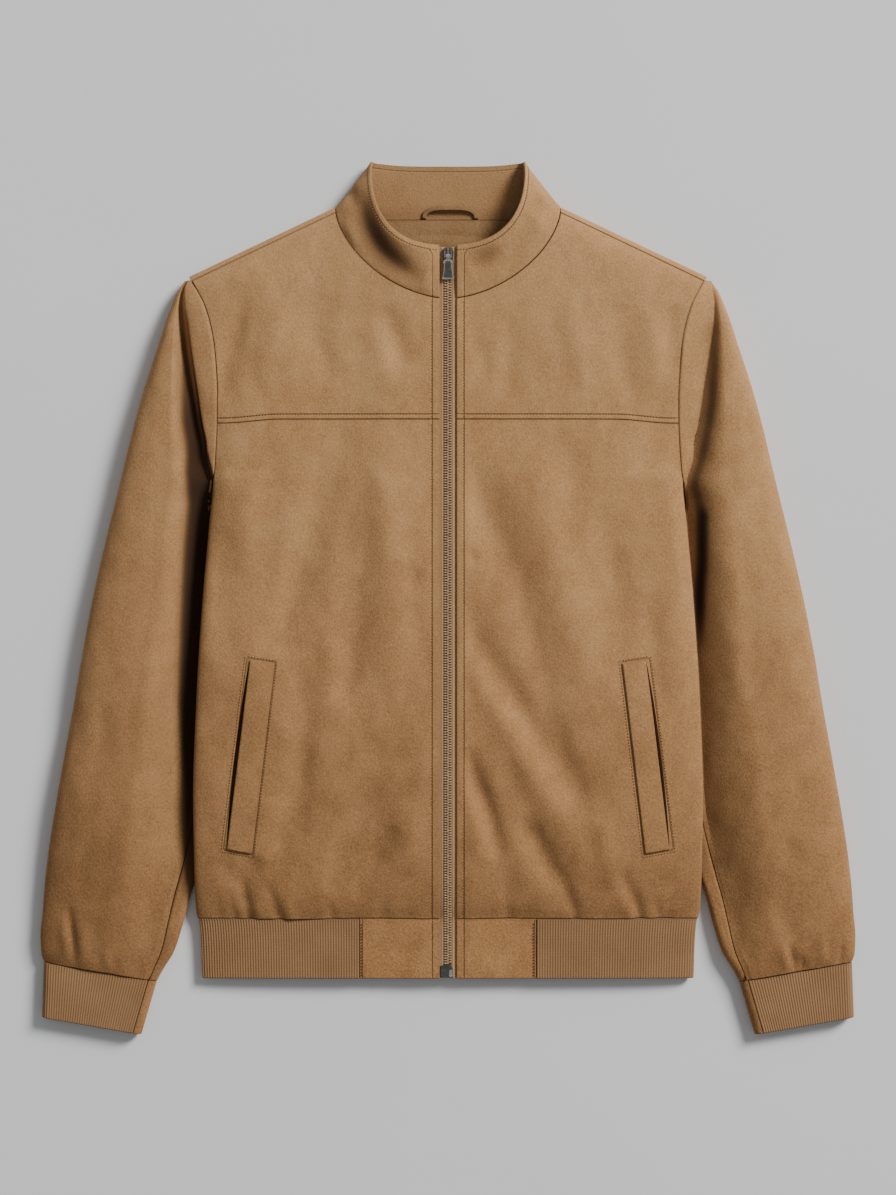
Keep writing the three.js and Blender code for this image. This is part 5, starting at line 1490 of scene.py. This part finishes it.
WELT_SIZE = np.array([24.7, 173.2])
WELT_STITCH = 2.2              # outside the welt
paths = []
for _, side in SIDES:
    y = np.arange(HEM_TOP + 1, CHEST_SEAM - 1, 2.0)
    paths.append(lift_path(side * PLACKET_STITCH, y, fine_front))
    neck_end = float(np.interp(PLACKET_STITCH, yoke_inner[40:, 0], yoke_inner[40:, 1]))
    y = np.arange(CHEST_SEAM + 1, neck_end - 1, 2.0)
    paths.append(lift_path(side * PLACKET_STITCH, y, fine_yoke))
    x = side * np.arange(PLACKET_STITCH + 2, 206.5, 2.0)
    paths.append(lift_path(x, chest_seam_y(x) + CHEST_STITCH, fine_yoke))
    y = np.arange(HEM_BOTTOM + 2, HEM_RIB_TOP - 1, 2.0)
    paths.append(lift_path(side * PLACKET_STITCH, y, front_height))
    paths.append(lift_path(side * TAB_STITCH, y, front_height))
    s, t = WELT_STITCH / WELT_SIZE
    ring = [welt_place(*spot) for spot in ((-s, -t), (1 + s, -t), (1 + s, 1 + t), (-s, 1 + t))]
    for first, second in zip(ring, ring[1:] + ring[:1]):
        line = np.linspace(first, second, 60)
        paths.append(lift_path(side * line[:, 0], line[:, 1], fine_front))
place_stitches("topstitching", paths)

# The collar's row lies at one distance from the rim on each spoke
normals = grid_normals(collar_points, "out")
fine_collar = collar_points + normals * collar_relief[..., None]
row = np.array([points_at(RIM_STITCH, distance[::-1], spoke_points[::-1])
                for spoke_points, distance in zip(fine_collar, from_rim)])
place_stitches("collar_topstitching", [row[:front_spokes], row[-front_spokes:]])

# %% [markdown]
# ## Zip
# The zip is closed. Woven tapes lie under the front edges, and between them run the
# metal teeth, one from each side in turn. Each tooth is a small chamfered block with a
# rounded nose, and all of them share a mesh. The solids hold one bar in their place.

# %% Zip tapes
def woven_tape():
    material, tree, shader = new_material("zip_tape_weave", 0.85)
    where = stretched(tree)
    wave = tree.nodes.new("ShaderNodeTexWave")
    wave.bands_direction = "DIAGONAL"
    wave.inputs["Scale"].default_value = 520
    wave.inputs["Distortion"].default_value = 1.5
    tree.links.new(where, wave.inputs["Vector"])
    tone = weighted(tree, (wave.outputs["Fac"], 0.35), (noise(tree, where, 1400, 2), 0.5))
    colour = colour_ramp(tree, tone, [(0.2, (0.34, 0.185, 0.082)), (0.8, (0.60, 0.36, 0.18))])
    # painted shade on the strip of tape that the teeth cover
    painted_shade_under_teeth = math_node(tree, "MULTIPLY", attribute(tree, "shade"), 0.85)
    paint(tree, shader, darken(tree, colour, painted_shade_under_teeth, SEAM_SHADOW))
    bump(tree, shader, wave.outputs["Fac"], 0.15, 0.6)
    return material


TAPE = woven_tape()
ZIP_TOP = 313.2
TAPE_DEPTH, TAPE_THICK = 2.75, 0.7
TAPE_LINES = np.array([0.2, 0.8, 2.4, 4.2, 5.0, 5.8, 7.5, 10, 13.4, 14])  # from the middle out
CORD_AT, CORD_WIDTH, CORD_RISE = 4.9, 1.1, 1.05        # the bead along the tape's edge
for side_name, side in SIDES:
    y = HEM_BOTTOM + 0.8 + spaced(ZIP_TOP - HEM_BOTTOM - 0.2, 4)
    x, y = np.meshgrid(TAPE_LINES, y, indexing="ij")
    cord_bead = 0.55 + CORD_RISE * np.exp(-(((x - CORD_AT) / CORD_WIDTH) ** 2))
    grid = np.stack([side * x, y, BODY["top"](y) - TAPE_DEPTH], -1)
    # painted shade where the teeth cover the tape
    part = cloth(grid, TAPE_THICK, relief=cord_bead, turned=0.2, dim=1 - ramp(x, 3.2, 4.3),
                 edge_dim=0)
    name = f"zip_tape_{side_name}"
    tape = place(f"{name}_woven", [part], TAPE, [name])
    declare_cut(grid)

# %% Shape of a tooth
CHAIN_DEPTH = 0.2
CHAIN_FROM, CHAIN_TO = HEM_BOTTOM + 13.1, ZIP_TOP - 11.3
TOOTH_PITCH = 2.3
TOOTH_PROFILE = [(3.3, 0.45), (3.0, 0.76), (2.3, 0.80), (1.7, 0.55), (0.4, 0.55), (-0.5, 0.44),
                 (-0.9, 0.2)]  # across the zip, and half its width there
TOOTH_RINGS = [(-1.9, 1.0), (-0.4, 1.0), (0.0, 0.66)]  # height, and how wide it is there


def ring_faces(count, rings, closed=False):
    """Faces between rings of corners, capped at both ends or closed into a loop."""
    faces = [list(range(count))[::-1], list(range((rings - 1) * count, rings * count))]
    if closed:
        faces = []
    for ring in range(rings if closed else rings - 1):
        low, high = ring * count, (ring + 1) % rings * count
        for k in range(count):
            ahead = (k + 1) % count
            faces.append([low + k, low + ahead, high + ahead, high + k])
    return faces


def tooth_shape():
    """A block from the tape's edge over the middle, narrower at its nose."""
    outline = TOOTH_PROFILE + [(x, -w) for x, w in TOOTH_PROFILE[::-1]]
    corners = []
    for height, share in TOOTH_RINGS:
        corners += [(x * (1 - 0.06 * (1 - share)), w * share, height) for x, w in outline]
    return np.array(corners), ring_faces(len(outline), len(TOOTH_RINGS))


# %% Metals and teeth
def metal(name, dark, light, roughness, metallic=1.0):
    material, tree, shader = new_material(name, roughness, metallic)
    where = stretched(tree)
    tone = weighted(tree, (noise(tree, where, 400, 3), 0.7), (noise(tree, where, 3000, 2), 0.4))
    paint(tree, shader, colour_ramp(tree, tone, [(0.25, dark), (0.75, light)]))
    bump(tree, shader, tone, 0.05, 0.5)
    return material


TEETH = metal("antique_teeth", (0.24, 0.14, 0.07), (0.80, 0.55, 0.32), 0.36, metallic=0.35)
GUNMETAL = metal("gunmetal", (0.10, 0.098, 0.095), (0.24, 0.235, 0.225), 0.34)
BRIGHT_STEEL = metal("bright_steel", (0.62, 0.59, 0.54), (0.92, 0.90, 0.86), 0.22)

shape, pattern = tooth_shape()
corners, faces = [], []
levels = np.arange(CHAIN_FROM + 0.8, CHAIN_TO - 0.8, TOOTH_PITCH / 2)
for k, y in enumerate(levels):
    side = 1 if k % 2 else -1
    turned = pattern if side > 0 else [face[::-1] for face in pattern]
    faces += [[len(shape) * k + corner for corner in face] for face in turned]
    corners.append(shape * (side, 1, 1) + (0, y, BODY["top"](y) - CHAIN_DEPTH))
place("zip_teeth", [(np.concatenate(corners), faces)], TEETH, ["zip_chain"],
      smooth=False)
print("zip teeth:", len(levels))

# %% [markdown]
# ## Slider, pull tab and bottom stop
# Small castings catch the light on their bevels, and that is most of what the eye sees
# of them. Each is an outline, stepped inwards and upwards in rings. The pull tab is a
# bright frame with a darker, sunken face, and it swings on the slider's cross bar.

# %% Plates with bevelled edges
def rounded_outline(corners, radius, steps=5):
    """A closed outline with each corner drawn as a short curve."""
    corners, made = np.array(corners, float), []
    for k, corner in enumerate(corners):
        ends = []
        for other in (corners[k - 1], corners[(k + 1) % len(corners)]):
            length = np.linalg.norm(other - corner)
            ends.append(corner + (other - corner) * min(radius, 0.45 * length) / length)
        for t in np.linspace(0, 1, steps):
            made.append((1 - t) ** 2 * ends[0] + 2 * t * (1 - t) * corner + t * t * ends[1])
    return np.array(made)


def inset(outline, distance):
    ahead = np.roll(outline, -1, 0) - outline
    ahead /= np.linalg.norm(ahead, axis=1, keepdims=True)
    inward = np.stack([-ahead[:, 1], ahead[:, 0]], -1)
    before = np.roll(inward, 1, 0)
    return outline + distance * (inward + before) / (1 + (inward * before).sum(1, keepdims=True))


def plate(outline, profile):
    """A plate from pairs of inset and height, closed by a cap at each end."""
    rings = [np.insert(inset(outline, distance), 2, height, axis=1) for distance, height in profile]
    return np.vstack(rings), ring_faces(len(outline), len(rings))


def mirrored_outline(right):
    """A closed outline from its right side, listed from the bottom up."""
    return [*right, *[(-x, y) for x, y in reversed(right)]]


def box_outline(x0, y0, x1, y1):
    return np.array([(x0, y0), (x1, y0), (x1, y1), (x0, y1)], float)


# %% Slider
BAR_Y, BAR_RADIUS, BAR_LIFT, BAR_REACH = 305.0, 0.7, 3.1, 3.1
BAR_STEPS = 16
ZIP_HEIGHT = float(BODY["top"](BAR_Y))
AXIS_HEIGHT = ZIP_HEIGHT + BAR_LIFT
SLIDER_LOW = ZIP_TOP - 11
LUG_WIDE = 1.0
RAILS = [(-0.55, 0.55, 0.7), (-3.2, -2.5, 2.2), (2.5, 3.2, 2.2)]  # from x, to x, below the top


def turned_ring(x, radius, steps):
    """A ring round the pull's axis, which runs across the slider."""
    angle = np.linspace(0, 2 * math.pi, steps, endpoint=False)
    return np.column_stack([np.full(steps, x), BAR_Y + radius * np.cos(angle),
                            AXIS_HEIGHT + radius * np.sin(angle)])


right = [(3.9, SLIDER_LOW), (4.6, SLIDER_LOW + 2.5), (5.0, SLIDER_LOW + 7.5), (3.8, ZIP_TOP - 0.6),
         (2, ZIP_TOP)]
outline = rounded_outline(mirrored_outline(right), 0.9)
base, crown = ZIP_HEIGHT - 2.2, ZIP_HEIGHT + 0.8
body = plate(outline, [(0.3, base), (0, base + 0.3), (0, crown - 0.5), (0.5, crown)])
top = AXIS_HEIGHT + BAR_RADIUS + 0.5
bar_end = BAR_REACH - 0.3
bar = np.vstack([turned_ring(x, BAR_RADIUS, BAR_STEPS) for x in (-bar_end, bar_end)])
trims = [(bar, ring_faces(BAR_STEPS, 2))]
for x0 in (-BAR_REACH, BAR_REACH - LUG_WIDE):
    lug = box_outline(x0, BAR_Y - 1.3, x0 + LUG_WIDE, BAR_Y + 1.3)
    trims.append(plate(lug, [(0, crown - 0.3), (0, top - 0.3), (0.25, top)]))
for x0, x1, below in RAILS:
    rail = box_outline(x0, BAR_Y + 1.7, x1, ZIP_TOP - below)
    trims.append(plate(rail, [(0, crown - 0.3), (0, crown + 0.7), (0.25, crown + 1.0)]))
place("slider_body", [body], GUNMETAL, ["zip_slider"], smooth=False)
place("slider_bridge", trims, BRIGHT_STEEL, smooth=False)

# %% Pull tab
EYE_OUTER, EYE_HOLE, EYE_HALF = 1.9, 1.05, 1.7
EYE_STEPS = 28
PULL_LENGTH, PULL_THICK = 20.5, 1.6
eye_rings = [(-EYE_HALF, EYE_OUTER), (EYE_HALF, EYE_OUTER), (EYE_HALF, EYE_HOLE),
             (-EYE_HALF, EYE_HOLE)]
eye = np.vstack([turned_ring(x, radius, EYE_STEPS) for x, radius in eye_rings])
end, wide_top, top = BAR_Y - PULL_LENGTH, BAR_Y - 3.2, BAR_Y - EYE_HOLE - 0.35
right = [(5.1, end), (5.5, end + 0.9), (4.3, end + 4), (3.6, wide_top - 5), (4.25, wide_top - 0.6),
         (1.7, wide_top + 0.5), (1.7, top)]
outline = rounded_outline(mirrored_outline(right), 1.1)
low = AXIS_HEIGHT - EYE_OUTER
high = low + PULL_THICK
rim = plate(outline, [(0.25, low), (0, low + 0.25), (0, high - 0.4), (0.4, high), (0.75, high),
                      (0.95, high - 0.35)])
right = [(4.0, end + 1.4), (3.2, end + 5), (2.5, wide_top - 5), (3.0, wide_top - 2.2),
         (2.0, wide_top - 1.2)]
face_outline = rounded_outline(mirrored_outline(right), 0.8)
face = plate(face_outline, [(0, high - 0.5), (0, high - 0.28), (0.12, high - 0.2)])
parts = [rim, (eye, ring_faces(EYE_STEPS, len(eye_rings), closed=True))]
place("pull_frame", parts, BRIGHT_STEEL, ["zip_pull"], "pull", smooth=False)
place("pull_face", [face], GUNMETAL, body="pull", smooth=False)

# %% Bottom stop
stop = frame["nodes"]["zip_box"]
for material_slot in stop.material_slots:
    material_slot.material = GUNMETAL
pin_high = max(corner[2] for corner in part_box("zip_box")) * 1000 + 0.8
pin = plate(rounded_outline(box_outline(0.9, -341.6, 4.2, -335.4), 1.2),
            [(0, pin_high - 1.6), (0, pin_high - 0.5), (0.5, pin_high)])
place("bottom_pin", [pin], BRIGHT_STEEL, smooth=False)

# %% [markdown]
# ## Floor, light and camera
# The picture was taken from straight above, over a plain pale floor. One large soft light
# stands at the upper right, so folds shade towards the lower left, and a grey world fills
# the rest. The lens is long, which keeps the sleeves from leaning outwards.

# %% Floor
FLOOR_REACH = 4.0              # in metres, from the middle
FLOOR_DROP = 0.3
corners = [(x * FLOOR_REACH, y * FLOOR_REACH, 0) for x, y in ((-1, -1), (1, -1), (1, 1), (-1, 1))]
mesh = bpy.data.meshes.new("floor")
mesh.from_pydata(corners, [], [(0, 1, 2, 3)])
mesh.materials.append(mottled("floor", 0.9, 6, [(0.79,) * 3, (0.805,) * 3], specular=0.1))
floor = bpy.data.objects.new("floor", mesh)
floor.location.z = -FLOOR_DROP * MM
bpy.context.scene.collection.objects.link(floor)

# %% Light
LAMP_PLACE = Vector((7.2, 6.0, 6.0))                   # in metres, aimed at the middle
lamp_data = bpy.data.lights.new("key_light", "AREA")
lamp_data.energy, lamp_data.size = 1740, 3.5
lamp = bpy.data.objects.new("key_light", lamp_data)
lamp.location = LAMP_PLACE
lamp.rotation_mode = "QUATERNION"
lamp.rotation_quaternion = (-LAMP_PLACE).to_track_quat("-Z", "Y")
bpy.context.scene.collection.objects.link(lamp)
world = bpy.data.worlds.new("studio")
world.use_nodes = True
world.node_tree.nodes["Background"].inputs["Color"].default_value = (0.96, 0.98, 1.0, 1)
world.node_tree.nodes["Background"].inputs["Strength"].default_value = 0.29
bpy.context.scene.world = world

# %% Camera
PICTURE_HEIGHT = 1195
MM_PER_PIXEL = 0.9
CAMERA_HEIGHT = 2.6
SUBJECT_HEIGHT = 0.015
camera_data = bpy.data.cameras.new("camera")
camera_data.sensor_width = 36
camera_data.lens = 36 * (CAMERA_HEIGHT - SUBJECT_HEIGHT) / (PICTURE_HEIGHT * MM_PER_PIXEL * MM)
camera = bpy.data.objects.new("camera", camera_data)
camera.location = (0, 0.0002, CAMERA_HEIGHT)
bpy.context.scene.collection.objects.link(camera)
bpy.context.scene.camera = camera
print("lens, mm:", round(camera_data.lens, 1))
